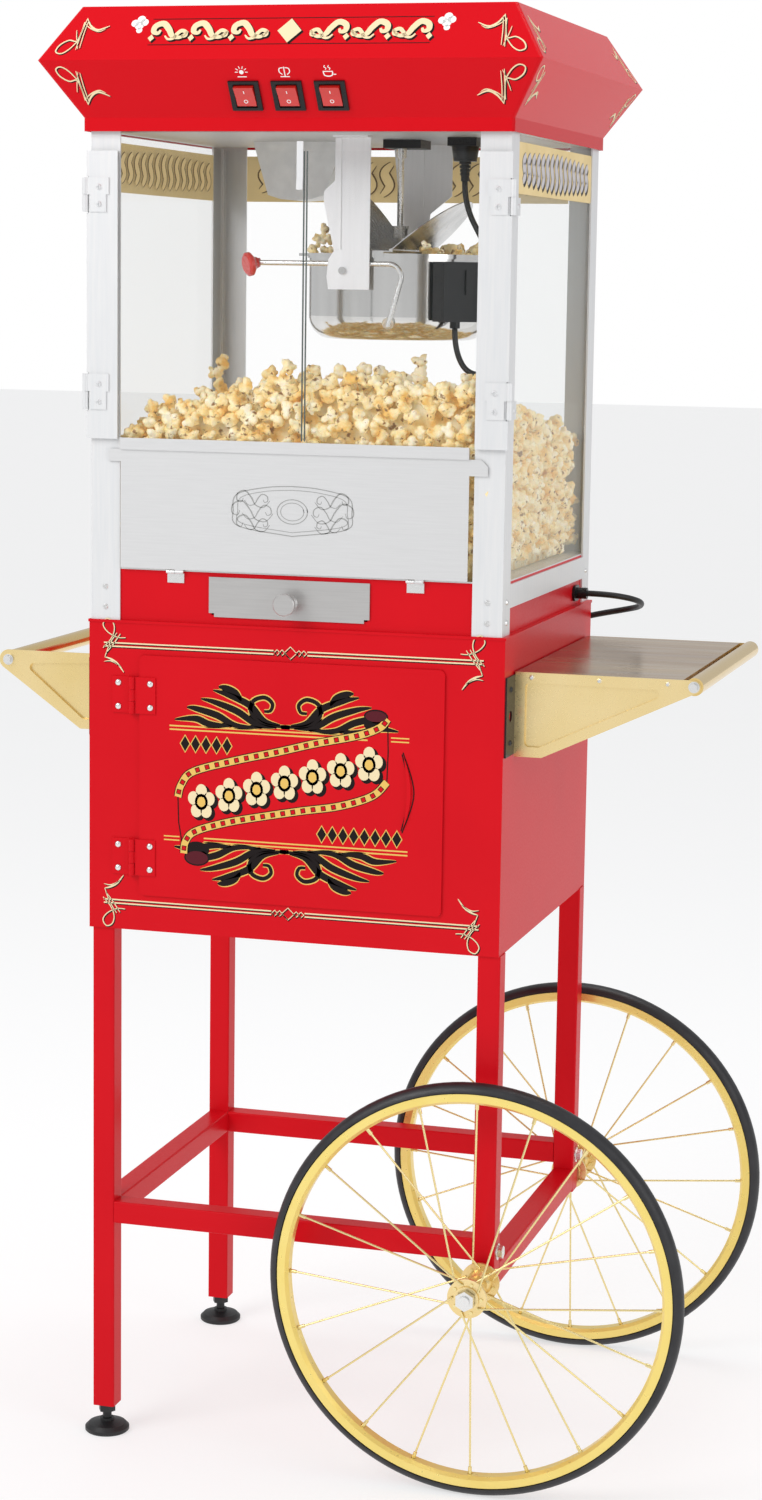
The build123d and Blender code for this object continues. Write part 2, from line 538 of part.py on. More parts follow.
def canopy_solid(inset, mode):
    """Canopy body between its level sections, drawn in by an inset."""
    for lower, upper in zip(CANOPY_SECTIONS, CANOPY_SECTIONS[1:]):
        with BuildSketch(Plane(origin=at(CANOPY_X, CANOPY_Y, lower[0]))) as low:
            RectangleRounded(2 * (lower[1] - inset), 2 * (lower[2] - inset), 4)
        top = upper[0] - (inset if upper is CANOPY_SECTIONS[-1] else 0)
        with BuildSketch(Plane(origin=at(CANOPY_X, CANOPY_Y, top))) as high:
            RectangleRounded(2 * (upper[1] - inset), 2 * (upper[2] - inset), 4)
        loft(sections=[low.sketch, high.sketch], ruled=True, mode=mode)


SLOPE_Z0, SLOPE_Z1 = CANOPY_SECTIONS[1][0], CANOPY_SECTIONS[2][0]
SLOPE_OUT = CANOPY_SECTIONS[2][2] - CANOPY_SECTIONS[1][2]
FACE_LEN = sqrt(SLOPE_OUT ** 2 + (SLOPE_Z1 - SLOPE_Z0) ** 2)
SWITCH_Z = 1484.0
SWITCH_Y = CANOPY_Y - CANOPY_SECTIONS[1][2] - SLOPE_OUT * (SWITCH_Z - SLOPE_Z0) / (SLOPE_Z1 - SLOPE_Z0)
SWITCH_OUT = (0, -(SLOPE_Z1 - SLOPE_Z0) / FACE_LEN, -SLOPE_OUT / FACE_LEN)
SWITCHES = {"light_rocker": 182.5, "stir_rocker": 229.2, "kettle_rocker": 275.9}


def switch_plane(switch_x):
    """Plane on the canopy's sloping face, facing out, its Y up the slope."""
    return Plane(origin=at(switch_x, SWITCH_Y, SWITCH_Z), x_dir=(1, 0, 0), z_dir=SWITCH_OUT)


with BuildPart() as canopy_shell:
    canopy_solid(0, Mode.ADD)
    canopy_solid(1.4, Mode.SUBTRACT)
    for switch_x in SWITCHES.values():
        with Locations(switch_plane(switch_x)):
            Box(28, 30, 12, mode=Mode.SUBTRACT)
save(canopy_shell, "canopy_shell")

with BuildPart() as switch_bodies:
    for switch_x in SWITCHES.values():
        face = switch_plane(switch_x)
        with Locations(face.offset(1.4)):
            Box(33, 34, 2.4)
        with Locations(face.offset(-9)):
            Box(27.4, 29.4, 20)
        with Locations(face.offset(-5)):
            Box(23, 27.6, 18, mode=Mode.SUBTRACT)
save(switch_bodies, "switch_bodies")

for rocker_name, switch_x in SWITCHES.items():
    with BuildPart() as rocker:
        face = switch_plane(switch_x)
        side = Plane(origin=(face.origin.X - 10.5, face.origin.Y, face.origin.Z),
                     x_dir=tuple(face.y_dir), z_dir=(1, 0, 0))
        with BuildSketch(side) as wedge:
            with BuildLine():
                Polyline((-11.8, 2.2), (0, 3.6), (11.8, 6.2), (11.8, 0), (7, -8), (-7, -8),
                         (-11.8, -3), close=True)
            make_face()
        extrude(to_extrude=wedge.sketch, amount=21)
    save(rocker, rocker_name)

with BuildPart() as ceiling_panel:
    block(36, 428, 34.2, 387.8, 1449, 1450.5)
    block(4.2, 459.8, 36, 386, 1449, 1450.5)
    rod(at(KETTLE_IN, CAB_D / 2, 1440), at(KETTLE_IN, CAB_D / 2, 1460), 11.5, mode=Mode.SUBTRACT)
save(ceiling_panel, "ceiling_panel")

with BuildPart() as gear_motor:
    block(270, 313, 190, 232, 1440, 1449)
    block(300, 372, 176, 246, 1450.5, 1530)
    block(262, 302, 190, 232, 1472, 1490)
    rod(at(KETTLE_IN, CAB_D / 2, 1430), at(KETTLE_IN, CAB_D / 2, 1500), 11, mode=Mode.SUBTRACT)
save(gear_motor, "gear_motor")

# ---------------------------------------------------------------- kettle drive
COLLAR_Z0, COLLAR_Z1, SLEEVE_Z0, SHAFT_Z1 = 1343.0, 1356.0, 1430.0, 1456.0
with BuildPart() as drive_shaft:
    rod(at(KETTLE_IN, CAB_D / 2, COLLAR_Z1), at(KETTLE_IN, CAB_D / 2, SHAFT_Z1), 3.5)
    nut(at(KETTLE_IN, CAB_D / 2, COLLAR_Z0), at(KETTLE_IN, CAB_D / 2, COLLAR_Z1), 17.0, 0)
    block(KETTLE_IN - 12, KETTLE_IN + 12, CAB_D / 2 - 4.5, CAB_D / 2 + 4.5, COLLAR_Z0 - 1, 1353,
          mode=Mode.SUBTRACT)
save(drive_shaft, "drive_shaft")

with BuildPart() as shaft_sleeve:
    rod(at(KETTLE_IN, CAB_D / 2, SLEEVE_Z0), at(KETTLE_IN, CAB_D / 2, 1452), 6.0)
    rod(at(KETTLE_IN, CAB_D / 2, SLEEVE_Z0 - 1), at(KETTLE_IN, CAB_D / 2, 1453), 3.5 + RUN,
        mode=Mode.SUBTRACT)
save(shaft_sleeve, "shaft_sleeve")

# ---------------------------------------------------------------- hangers and lamp
HANGER_F, HANGER_B = 101.5, 318.5    # front faces of the two kettle hangers
PIN_R = 4.0
with BuildPart() as hangers:
    wing = [(243, 1449), (282, 1449), (282, 1286), (236, 1286), (234, 1300), (236, 1318), (242, 1327),
            (230, 1380), (230, 1390), (243, 1402)]
    plate(wing, HANGER_F, 2)
    plate([(246, 1449), (315, 1449), (315, 1392), (290, 1372), (284, 1330), (284, 1286), (236, 1286),
           (236, 1318), (257, 1345)], HANGER_B, 2)
    block(243, 250, HANGER_F - 1.5, HANGER_F + 0.5, 1329, 1446)
    block(268, 282, HANGER_B - 1.5, HANGER_B + 0.5, 1380, 1446)
    rod(at(PIVOT_IN, 90, PIVOT_Z), at(PIVOT_IN, 330, PIVOT_Z), PIN_R + RUN, mode=Mode.SUBTRACT)
    block(243, 282, HANGER_F - 12, HANGER_F, 1447, 1449)
    block(246, 315, HANGER_B + 2, HANGER_B + 14, 1447, 1449)
save(hangers, "hangers")

SHIELD_Y0, SHIELD_Y1 = 240.0, 330.0
with BuildPart() as lamp_shield:
    plate([(103, 1449), (210, 1449), (187, 1390), (172, 1385.5), (154, 1384), (136, 1385.5), (121, 1390)],
          SHIELD_Y0, SHIELD_Y1 - SHIELD_Y0)
    plate([(104.2, 1450), (208.8, 1450), (186, 1391), (171.6, 1386.7), (154, 1385.2), (136.4, 1386.7),
           (122, 1391)], SHIELD_Y0 + 1.2, SHIELD_Y1 - SHIELD_Y0 - 2.4, mode=Mode.SUBTRACT)
    block(110, 200, SHIELD_Y1 - 40, SHIELD_Y1 + 1, 1380, 1400, mode=Mode.SUBTRACT)
save(lamp_shield, "lamp_shield")

with BuildPart() as lamp_bulb:
    rod(at(156, 285, 1437), at(156, 285, 1449), 15)
    cone(at(156, 285, 1428), at(156, 285, 1437), 17, 13)
    with Locations(at(156, 285, 1416)):
        Sphere(17)
save(lamp_bulb, "lamp_bulb")

# ---------------------------------------------------------------- kettle
LID_AXES = ((KETTLE_IN - 14.5, -1), (KETTLE_IN + 14.5, 1))
LID_AXIS_Z = 1328.6
STIR_R = 3.0
with BuildPart() as kettle_pot:
    with BuildSketch(Plane(origin=(KX, KY, 0), x_dir=(1, 0, 0), z_dir=(0, -1, 0))):
        with BuildLine():
            Polyline((0, KETTLE_Z0), (KETTLE_R - 25, KETTLE_Z0))
            RadiusArc((KETTLE_R - 25, KETTLE_Z0), (KETTLE_R, KETTLE_Z0 + 25), -25)
            Polyline((KETTLE_R, KETTLE_Z0 + 25), (KETTLE_R, KETTLE_Z1 - 5), (KETTLE_R + 2, KETTLE_Z1 - 5),
                     (KETTLE_R + 2, KETTLE_Z1), (KETTLE_R - 2, KETTLE_Z1), (KETTLE_R - 2, KETTLE_Z0 + 26))
            RadiusArc((KETTLE_R - 2, KETTLE_Z0 + 26), (KETTLE_R - 26, KETTLE_Z0 + 5), 23)
            Polyline((KETTLE_R - 26, KETTLE_Z0 + 5), (0, KETTLE_Z0 + 5), (0, KETTLE_Z0))
        make_face()
    revolve(axis=Axis((KX, KY, 0), (0, 0, 1)))
    for end_y in (109.5, 310.5):
        block(KETTLE_IN - 11, KETTLE_IN + 11, end_y - 1.9, end_y + 1.9, KETTLE_Z1 - 4, KETTLE_Z1 + 2)
    rod(at(KETTLE_IN, CAB_D / 2, KETTLE_Z1 + 1), at(KETTLE_IN, CAB_D / 2, KETTLE_Z1 + 8), 7)
    for end_a, end_b in ((99, 120), (302, 323)):
        rod(at(PIVOT_IN, end_a, PIVOT_Z), at(PIVOT_IN, end_b, PIVOT_Z), PIN_R)
    with BuildSketch(Plane(origin=(KX, KY, KETTLE_Z1 - 3))):
        with Locations((-KETTLE_R - 1, 0)):
            Trapezoid(70, 16, 60, rotation=90)
    extrude(amount=3)
    with Locations((KX, KY, KETTLE_Z1 - 2)):
        Cylinder(KETTLE_R - 2, 6, mode=Mode.SUBTRACT)
    block(KETTLE_IN - 11, KETTLE_IN + 11, 107.6, 314.4, KETTLE_Z1 + 1, KETTLE_Z1 + 3)
    rod(at(KETTLE_IN, CAB_D / 2, KETTLE_Z1 - 5), at(KETTLE_IN, CAB_D / 2, KETTLE_Z1 + 9), STIR_R + RUN,
        mode=Mode.SUBTRACT)
    for axis_x, out in LID_AXES:
        block(axis_x - 2, axis_x + 2, 124, 126, KETTLE_Z1 + 1.5, LID_AXIS_Z + 1.5)
        block(axis_x - 2, axis_x + 2, 296, 298, KETTLE_Z1 + 1.5, LID_AXIS_Z + 1.5)
        low_x, high_x = sorted((axis_x, KETTLE_IN))
        block(low_x, high_x, 124, 126, KETTLE_Z1 + 1.5, KETTLE_Z1 + 3)
        block(low_x, high_x, 296, 298, KETTLE_Z1 + 1.5, KETTLE_Z1 + 3)
        rod(at(axis_x, 125, LID_AXIS_Z), at(axis_x, 297, LID_AXIS_Z), 1.0)
save(kettle_pot, "kettle_pot")


def lid(name, axis_x, out, lift_deg):
    """Half lid: a half disc on a hinge tube, drawn at its resting lift."""
    hinge = Plane(Location(at(axis_x, CAB_D / 2, LID_AXIS_Z), (0, -lift_deg * out, 0)))
    axis_point = at(axis_x, CAB_D / 2, LID_AXIS_Z)
    ahead = Vector(0, 1, 0)
    with BuildPart() as half_lid:
        with BuildSketch(hinge) as disc:
            Circle(84.6)
            Rectangle(200, 200, align=(Align.MAX if out > 0 else Align.MIN, Align.CENTER),
                      mode=Mode.SUBTRACT)
        extrude(to_extrude=disc.sketch, amount=1.2)
        rod(Vector(*axis_point) - ahead * 84.5, Vector(*axis_point) + ahead * 84.5, 2.1)
        rod(Vector(*axis_point) - ahead * 90, Vector(*axis_point) + ahead * 90, 1.0 + RUN,
            mode=Mode.SUBTRACT)
    save(half_lid, name)


lid("left_lid", LID_AXES[0][0], -1, LID_LEFT_DEG)
lid("right_lid", LID_AXES[1][0], 1, LID_RIGHT_DEG)

with BuildPart() as kettle_stirrer:
    rod(at(KETTLE_IN, CAB_D / 2, KETTLE_Z0 + 8), at(KETTLE_IN, CAB_D / 2, 1336), STIR_R)
    block(KETTLE_IN - 3.5, KETTLE_IN + 3.5, CAB_D / 2 - 2, CAB_D / 2 + 2, 1335, 1346)
    block(KETTLE_IN - 85, KETTLE_IN + 85, CAB_D / 2 - 4, CAB_D / 2 + 4, KETTLE_Z0 + 8, KETTLE_Z0 + 12)
save(kettle_stirrer, "kettle_stirrer")

ROD_R, ROD_X, ROD_Y, ROD_Z = 2.8, 156.0, 107.0, 1313.6
with BuildPart() as kettle_handle:
    with BuildLine() as bar:
        FilletPolyline(at(ROD_X, ROD_Y, ROD_Z), at(321, ROD_Y, ROD_Z), at(302, ROD_Y, 1247), radius=14)
    with BuildSketch(Plane(origin=bar.line @ 0, z_dir=bar.line % 0)):
        Circle(ROD_R)
    sweep()
    rod(at(302, ROD_Y, 1250), at(302, 114, 1252), 6.5)
    with Locations((KX, KY, 1250)):
        Cylinder(KETTLE_R + 0.05, 40, mode=Mode.SUBTRACT)
save(kettle_handle, "kettle_handle")

KNOB_DIR = Vector(-0.7, -0.67, -0.2).normalized()
with BuildPart() as handle_knob:
    knob_root = Vector(*at(ROD_X - 3, ROD_Y, ROD_Z))
    rod(at(ROD_X, ROD_Y, ROD_Z), at(ROD_X - 6, ROD_Y, ROD_Z), 5)
    for near, far, near_r, far_r in ((0, 3, 6, 7), (3, 8, 7, 13), (11.5, 13.5, 13, 10)):
        cone(knob_root + KNOB_DIR * near, knob_root + KNOB_DIR * far, near_r, far_r)
    rod(knob_root + KNOB_DIR * 8, knob_root + KNOB_DIR * 11.5, 13)
save(handle_knob, "handle_knob")

BOX_DEG = 42.0
with BuildPart() as terminal_box:
    out_dir = (cos(radians(BOX_DEG)), -sin(radians(BOX_DEG)), 0)
    seat = Plane(origin=(KX, KY, 1285), x_dir=out_dir, z_dir=(0, 0, 1))
    with Locations(seat):
        with Locations((KETTLE_R + 14, 0, 0)):
            Box(22, 44, 64)
        with Locations((KETTLE_R + 1.5, 0, -18), (KETTLE_R + 1.5, 0, 12)):
            Box(6, 30, 8)
        with Locations((KETTLE_R + 26, 8, 10)):
            Box(3, 6, 26)
        with Locations((KETTLE_R + 14, 0, -35)):
            Cylinder(5.5, 8)
    with Locations((KX, KY, 1285)):
        Cylinder(KETTLE_R + 0.05, 100, mode=Mode.SUBTRACT)
save(terminal_box, "terminal_box")

# ---------------------------------------------------------------- kettle lead
SOCKET = (374.0, 150.0)
PLUG_Z = 1403.0
with BuildPart() as lead_plug:
    block(SOCKET[0] - 16, SOCKET[0] + 16, SOCKET[1] - 16, SOCKET[1] + 16, 1440, 1449)
    cone(at(*SOCKET, 1440), at(*SOCKET, 1424), 15, 12.5)
    for ring in range(4):
        top = 1424 - ring * 4
        rod(at(*SOCKET, top), at(*SOCKET, top - 3), 6.6 - ring * 0.5)
    rod(at(*SOCKET, 1430), at(*SOCKET, PLUG_Z), 4.4)
save(lead_plug, "lead_plug")

EXIT_X = KETTLE_IN + (KETTLE_R + 14) * cos(radians(BOX_DEG))
EXIT_Y = CAB_D / 2 - (KETTLE_R + 14) * sin(radians(BOX_DEG))
LEAD_ROUTE = [(374, 150, PLUG_Z), (374, 150, 1378), (398, 148, 1336), (424, 142, 1288),
              (436, 136, 1240), (424, 131, 1202), (388, 131, 1194), (EXIT_X, EXIT_Y, 1222),
              (EXIT_X, EXIT_Y, 1246)]
MAINS_ROUTE = [(475, 358, 942), (495, 358, 942), (520, 370, 938), (532, 394, 931), (526, 420, 923),
               (505, 437, 917), (466, 437, 909), (413, 437, 895), (366, 437, 866), (338, 437, 820),
               (330, 437, 768), (330, 437, 736)]


def bend_radii(route):
    """Radius for each corner of a route: 0.45 of its shorter run over tan(half turn)."""
    radii = []
    for before, corner, after in zip(route, route[1:], route[2:]):
        first, second = Vector(*corner) - Vector(*before), Vector(*after) - Vector(*corner)
        turn = radians(first.get_angle(second))
        radii.append(0.45 * min(first.length, second.length) / tan(turn / 2))
    return radii


def cord(name, route, radius):
    """Cord of one radius: straight runs joined by tangent arcs."""
    radii = bend_radii(route)
    with BuildPart() as tube:
        with BuildLine() as path:
            FilletPolyline(*[at(*point) for point in route], radius=radii)
        with BuildSketch(Plane(origin=path.line @ 0, z_dir=path.line % 0)):
            Circle(radius)
        sweep()
    length = sum(edge.length for edge in path.line.edges())
    ideal = length * pi * radius ** 2
    print(name, "length", round(length, 1), "radii", [round(bend, 1) for bend in radii])
    print(name, "volume over section times length", round(tube.part.volume / ideal, 4))
    save(tube, name)


cord("kettle_lead", LEAD_ROUTE, LEAD_R)
cord("mains_cord", MAINS_ROUTE, CORD_R)

COIL_C, COIL_R, BUNDLE_R = (291.0, 437.0, 690.0), 39.0, 11.2
TAIL_X, TAIL_Z = 330.0, 624.0        # the cord leaves the coil straight down to the plug
with BuildPart() as cord_coil:
    with Locations(Plane(origin=at(*COIL_C), z_dir=(0, 1, 0))):
        Torus(COIL_R, BUNDLE_R)
    rod(at(TAIL_X, 437, COIL_C[2]), at(*MAINS_ROUTE[-1]), CORD_R)
    rod(at(TAIL_X, 437, COIL_C[2]), at(TAIL_X, 437, TAIL_Z), CORD_R)
    block(284, 298, 424.9, 449.1, COIL_C[2] + COIL_R - 12.1, COIL_C[2] + COIL_R + 12.1)
save(cord_coil, "cord_coil")

with BuildPart() as mains_plug:
    cone(at(TAIL_X, 437, TAIL_Z), at(TAIL_X, 437, TAIL_Z - 22), 5, 8)
    block(TAIL_X - 14, TAIL_X + 14, 427, 447, 576, TAIL_Z - 20)
    for blade in (-6.35, 6.35):
        block(TAIL_X + blade - 0.8, TAIL_X + blade + 0.8, 437, 443, 560, 577)
    rod(at(TAIL_X, 431.5, 577), at(TAIL_X, 431.5, 558), 2.4)
save(mains_plug, "mains_plug")

# ---------------------------------------------------------------- popcorn
HEAP_FRONT = [(12, 1120), (50, 1142), (119, 1178), (200, 1194), (264, 1198), (360, 1194), (452, 1186)]
HEAP_BACK = [(12, 1098), (50, 1106), (119, 1118), (200, 1124), (264, 1126), (360, 1126), (452, 1120)]
HEAP_Y0, HEAP_Y1 = 8.0, 410.0
with BuildPart() as popcorn_heap:
    ends = []
    for end_y, crest in ((HEAP_Y0, HEAP_FRONT), (HEAP_Y1, HEAP_BACK)):
        with BuildSketch(Plane(origin=at(0, end_y, 0), x_dir=(1, 0, 0), z_dir=(0, -1, 0))) as section:
            with BuildLine():
                Polyline((12, DECK_Z), *crest, (452, DECK_Z), close=True)
            make_face()
        ends.append(section.sketch)
    loft(sections=ends, ruled=True)
save(popcorn_heap, "popcorn_heap")

# ---------------------------------------------------------------- fasteners
with BuildPart() as fasteners:
    for post_x in (18.5, 445.5):
        for height in (963.8, 942):
            screw_head(at(post_x, 1, height), (0, -1, 0), 3.2)
            screw_head(at(post_x, 421, height), (0, 1, 0), 3.2)
    for side_x, out in ((2, -1), (462, 1)):
        for depth in (18, 404):
            for height in (963.8, 942):
                screw_head(at(side_x, depth, height), (out, 0, 0), 3.2)
    for face_y, out in ((SIDE_Y0, -1), (SIDE_Y1, 1)):
        for screw_x in (486, 559, 632):
            screw_head(at(screw_x, face_y, 882.5), (0, out, 0), 2.8)
        for bar_x, bar_z in (SHELF_TIP, HANDLE_TIP):
            rod(at(bar_x, face_y, bar_z), at(bar_x, face_y + 2 * out, bar_z), 6)
            nut(at(bar_x, face_y + 2 * out, bar_z), at(bar_x, face_y + 6 * out, bar_z), 8.0, 0)
    for leg_y in (LEG_YF, LEG_YB):
        head_x = AXLE_X + TUBE / 2
        rod((head_x, leg_y, 257), (head_x + 1.5, leg_y, 257), 9)
        nut((head_x + 1.5, leg_y, 257), (head_x + 7, leg_y, 257), 13.0, 0)
save(fasteners, "fasteners")
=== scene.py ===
# Looks for the popcorn cart: camera, light, materials, cords, popcorn and painted ornament.
# Lengths are metres in the model's frame. mm() turns cabinet distances into that frame.
import math

import bpy
import bmesh
import numpy as np
from mathutils import Matrix, Vector


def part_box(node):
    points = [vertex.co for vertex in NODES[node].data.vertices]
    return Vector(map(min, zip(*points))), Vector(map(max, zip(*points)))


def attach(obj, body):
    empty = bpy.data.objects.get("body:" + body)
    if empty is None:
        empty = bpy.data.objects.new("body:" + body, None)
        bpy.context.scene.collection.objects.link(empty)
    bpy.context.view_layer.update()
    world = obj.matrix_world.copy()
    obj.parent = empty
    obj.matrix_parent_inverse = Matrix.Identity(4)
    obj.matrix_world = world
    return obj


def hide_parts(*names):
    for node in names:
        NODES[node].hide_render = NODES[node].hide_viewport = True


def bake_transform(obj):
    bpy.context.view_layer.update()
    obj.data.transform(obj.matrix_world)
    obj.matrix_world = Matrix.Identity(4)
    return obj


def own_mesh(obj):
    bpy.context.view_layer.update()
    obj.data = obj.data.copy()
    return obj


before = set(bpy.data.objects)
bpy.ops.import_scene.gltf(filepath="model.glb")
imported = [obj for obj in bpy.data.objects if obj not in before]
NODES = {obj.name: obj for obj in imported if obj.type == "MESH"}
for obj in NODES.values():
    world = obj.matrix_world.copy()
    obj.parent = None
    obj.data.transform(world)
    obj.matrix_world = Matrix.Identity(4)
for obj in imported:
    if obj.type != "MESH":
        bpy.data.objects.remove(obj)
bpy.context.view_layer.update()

LEFT_X, FRONT_Y = -280.05, -211.0       # cabinet left and front faces, in millimetres
KETTLE = (285.0, 211.0)                 # kettle axis, from the cabinet's left and front faces


def mm(x, y, z):
    """Point from distances to the cabinet's left face, its front face and the floor."""
    return Vector(((LEFT_X + x) / 1000, (FRONT_Y + y) / 1000, z / 1000))


# ---------------------------------------------------------------- camera
CAMERA_PLACE = (1214.2, -3068.1, 1293.0)
CAMERA_TURN = (0.2799, 0.1526, 0.0145)  # yaw, pitch and roll, in radians
SENSOR_MM, LENS_MM = 36.0, 72.8016


def add_camera():
    """Camera to the cart's front right, looking slightly down."""
    yaw, pitch, roll = CAMERA_TURN
    forward = Vector((-math.sin(yaw) * math.cos(pitch), math.cos(yaw) * math.cos(pitch), -math.sin(pitch)))
    right = Vector((math.cos(yaw), math.sin(yaw), 0))
    up = right.cross(forward)
    turned_right = right * math.cos(roll) + up * math.sin(roll)
    turned_up = up * math.cos(roll) - right * math.sin(roll)
    rotation = Matrix((turned_right, turned_up, -forward)).transposed().to_4x4()
    data = bpy.data.cameras.new("camera")
    data.sensor_width = SENSOR_MM
    data.lens = LENS_MM
    data.clip_end = 60
    camera = bpy.data.objects.new("camera", data)
    camera.matrix_world = Matrix.Translation(mm(*CAMERA_PLACE)) @ rotation
    bpy.context.collection.objects.link(camera)
    bpy.context.scene.camera = camera


add_camera()


# ---------------------------------------------------------------- mesh helpers
def new_object(name, data, material=None):
    """New object in the scene, with its material."""
    if material:
        data.materials.append(material)
    obj = bpy.data.objects.new(name, data)
    bpy.context.collection.objects.link(obj)
    return obj


def mesh_object(name, verts, faces, material, smooth=True):
    """New mesh object from vertices and faces."""
    data = bpy.data.meshes.new(name)
    data.from_pydata([tuple(v) for v in verts], [], faces)
    if smooth:
        data.shade_smooth()
    return new_object(name, data, material)


def spline_curve(name, points, bevel=0.0):
    """Smooth open curve whose control points are the given points."""
    data = bpy.data.curves.new(name, "CURVE")
    data.dimensions = "3D"
    data.bevel_depth = bevel
    data.bevel_resolution = 5
    data.resolution_u = 10
    data.use_fill_caps = True
    spline = data.splines.new("NURBS")
    spline.points.add(len(points) - 1)
    for control, point in zip(spline.points, points):
        control.co = (*point, 1)
    spline.order_u = 3
    spline.use_endpoint_u = True
    return new_object(name, data)


def curve_points(obj):
    """Points along a curve with no bevel, in order."""
    mesh = bpy.data.meshes.new_from_object(obj)
    points = [v.co.copy() for v in mesh.vertices]
    bpy.data.meshes.remove(mesh)
    return points


def tube_mesh(points, radius, sides=14):
    """Vertices and faces of a capped tube along points, without twist."""
    verts, faces = [], []
    tangent = (points[1] - points[0]).normalized()
    side = tangent.orthogonal().normalized()
    for i, point in enumerate(points):
        ahead = points[min(i + 1, len(points) - 1)] - points[max(i - 1, 0)]
        tangent = ahead.normalized()
        side = (side - tangent * side.dot(tangent)).normalized()
        other = tangent.cross(side)
        for k in range(sides):
            angle = 2 * math.pi * k / sides
            verts.append(point + radius * (side * math.cos(angle) + other * math.sin(angle)))
    for i in range(len(points) - 1):
        for k in range(sides):
            a, b = i * sides + k, i * sides + (k + 1) % sides
            faces.append((a, b, b + sides, a + sides))
    faces.append(tuple(reversed(range(sides))))
    faces.append(tuple(range(len(verts) - sides, len(verts))))
    return verts, faces


# ---------------------------------------------------------------- materials
NOISE_RANGE = (0.3, 0.7)                # most of a noise texture's values lie between these


def new_material(name, color, metallic=0.0, roughness=0.5, **sockets):
    """Principled material with constant values on the shader's own sockets."""
    material = bpy.data.materials.new(name)
    material.use_nodes = True
    shader = material.node_tree.nodes["Principled BSDF"]
    shader.inputs["Base Color"].default_value = (*color, 1)
    shader.inputs["Metallic"].default_value = metallic
    shader.inputs["Roughness"].default_value = roughness
    for socket, value in sockets.items():
        shader.inputs[socket.replace("_", " ")].default_value = value
    return material


def coordinates(tree, stretch=(1, 1, 1)):
    """Object coordinates, stretched to give a grain its direction."""
    place = tree.nodes.new("ShaderNodeTexCoord")
    mapping = tree.nodes.new("ShaderNodeMapping")
    mapping.inputs["Scale"].default_value = stretch
    tree.links.new(place.outputs["Object"], mapping.inputs["Vector"])
    return mapping.outputs["Vector"]


def noise(tree, vector, scale, detail=3.0):
    """Noise texture read at a vector."""
    node = tree.nodes.new("ShaderNodeTexNoise")
    node.inputs["Scale"].default_value = scale
    node.inputs["Detail"].default_value = detail
    tree.links.new(vector, node.inputs["Vector"])
    return node.outputs["Fac"]


def remap(tree, value, low, high, span=NOISE_RANGE):
    """Value whose span is spread over low to high."""
    node = tree.nodes.new("ShaderNodeMapRange")
    for socket, number in zip(("From Min", "From Max", "To Min", "To Max"), (*span, low, high)):
        node.inputs[socket].default_value = number
    tree.links.new(value, node.inputs["Value"])
    return node.outputs["Result"]


def add_bump(tree, height, strength, distance):
    """Bump of a height, on the material's shader."""
    node = tree.nodes.new("ShaderNodeBump")
    node.inputs["Strength"].default_value = strength
    node.inputs["Distance"].default_value = distance
    tree.links.new(height, node.inputs["Height"])
    tree.links.new(node.outputs["Normal"], tree.nodes["Principled BSDF"].inputs["Normal"])


def add_grain_and_painted_reflection(material, scale, bump, depth, rough, tint=None, stretch=(1, 1, 1)):
    """Grain for a material: bump, roughness from low to high, and two colours with a share of the scale; on
    the kettle and the shelf the two colours are painted reflections.
    """
    tree = material.node_tree
    shader = tree.nodes["Principled BSDF"]
    vector = coordinates(tree, stretch)
    fine = noise(tree, vector, scale)
    if bump > 0:
        add_bump(tree, fine, bump, depth)
    tree.links.new(remap(tree, fine, *rough), shader.inputs["Roughness"])
    if tint:
        ramp = tree.nodes.new("ShaderNodeValToRGB")
        dark, light, share = tint
        for stop, position, color in zip(ramp.color_ramp.elements, NOISE_RANGE, (dark, light)):
            stop.position, stop.color = position, (*color, 1)
        broad = noise(tree, vector, scale * share)
        tree.links.new(broad, ramp.inputs["Fac"])
        tree.links.new(ramp.outputs["Color"], shader.inputs["Base Color"])
    return material


def glass_material(name, color, clear, edge):
    """Thin glass: clear face on, brighter at a glancing angle."""
    material = new_material(name, color, roughness=0.03, Specular_IOR_Level=0.9)
    tree = material.node_tree
    shader = tree.nodes["Principled BSDF"]
    weight = tree.nodes.new("ShaderNodeLayerWeight")
    weight.inputs["Blend"].default_value = 0.25
    alpha = remap(tree, weight.outputs["Fresnel"], clear, edge, (0.0, 1.0))
    tree.links.new(alpha, shader.inputs["Alpha"])
    return material


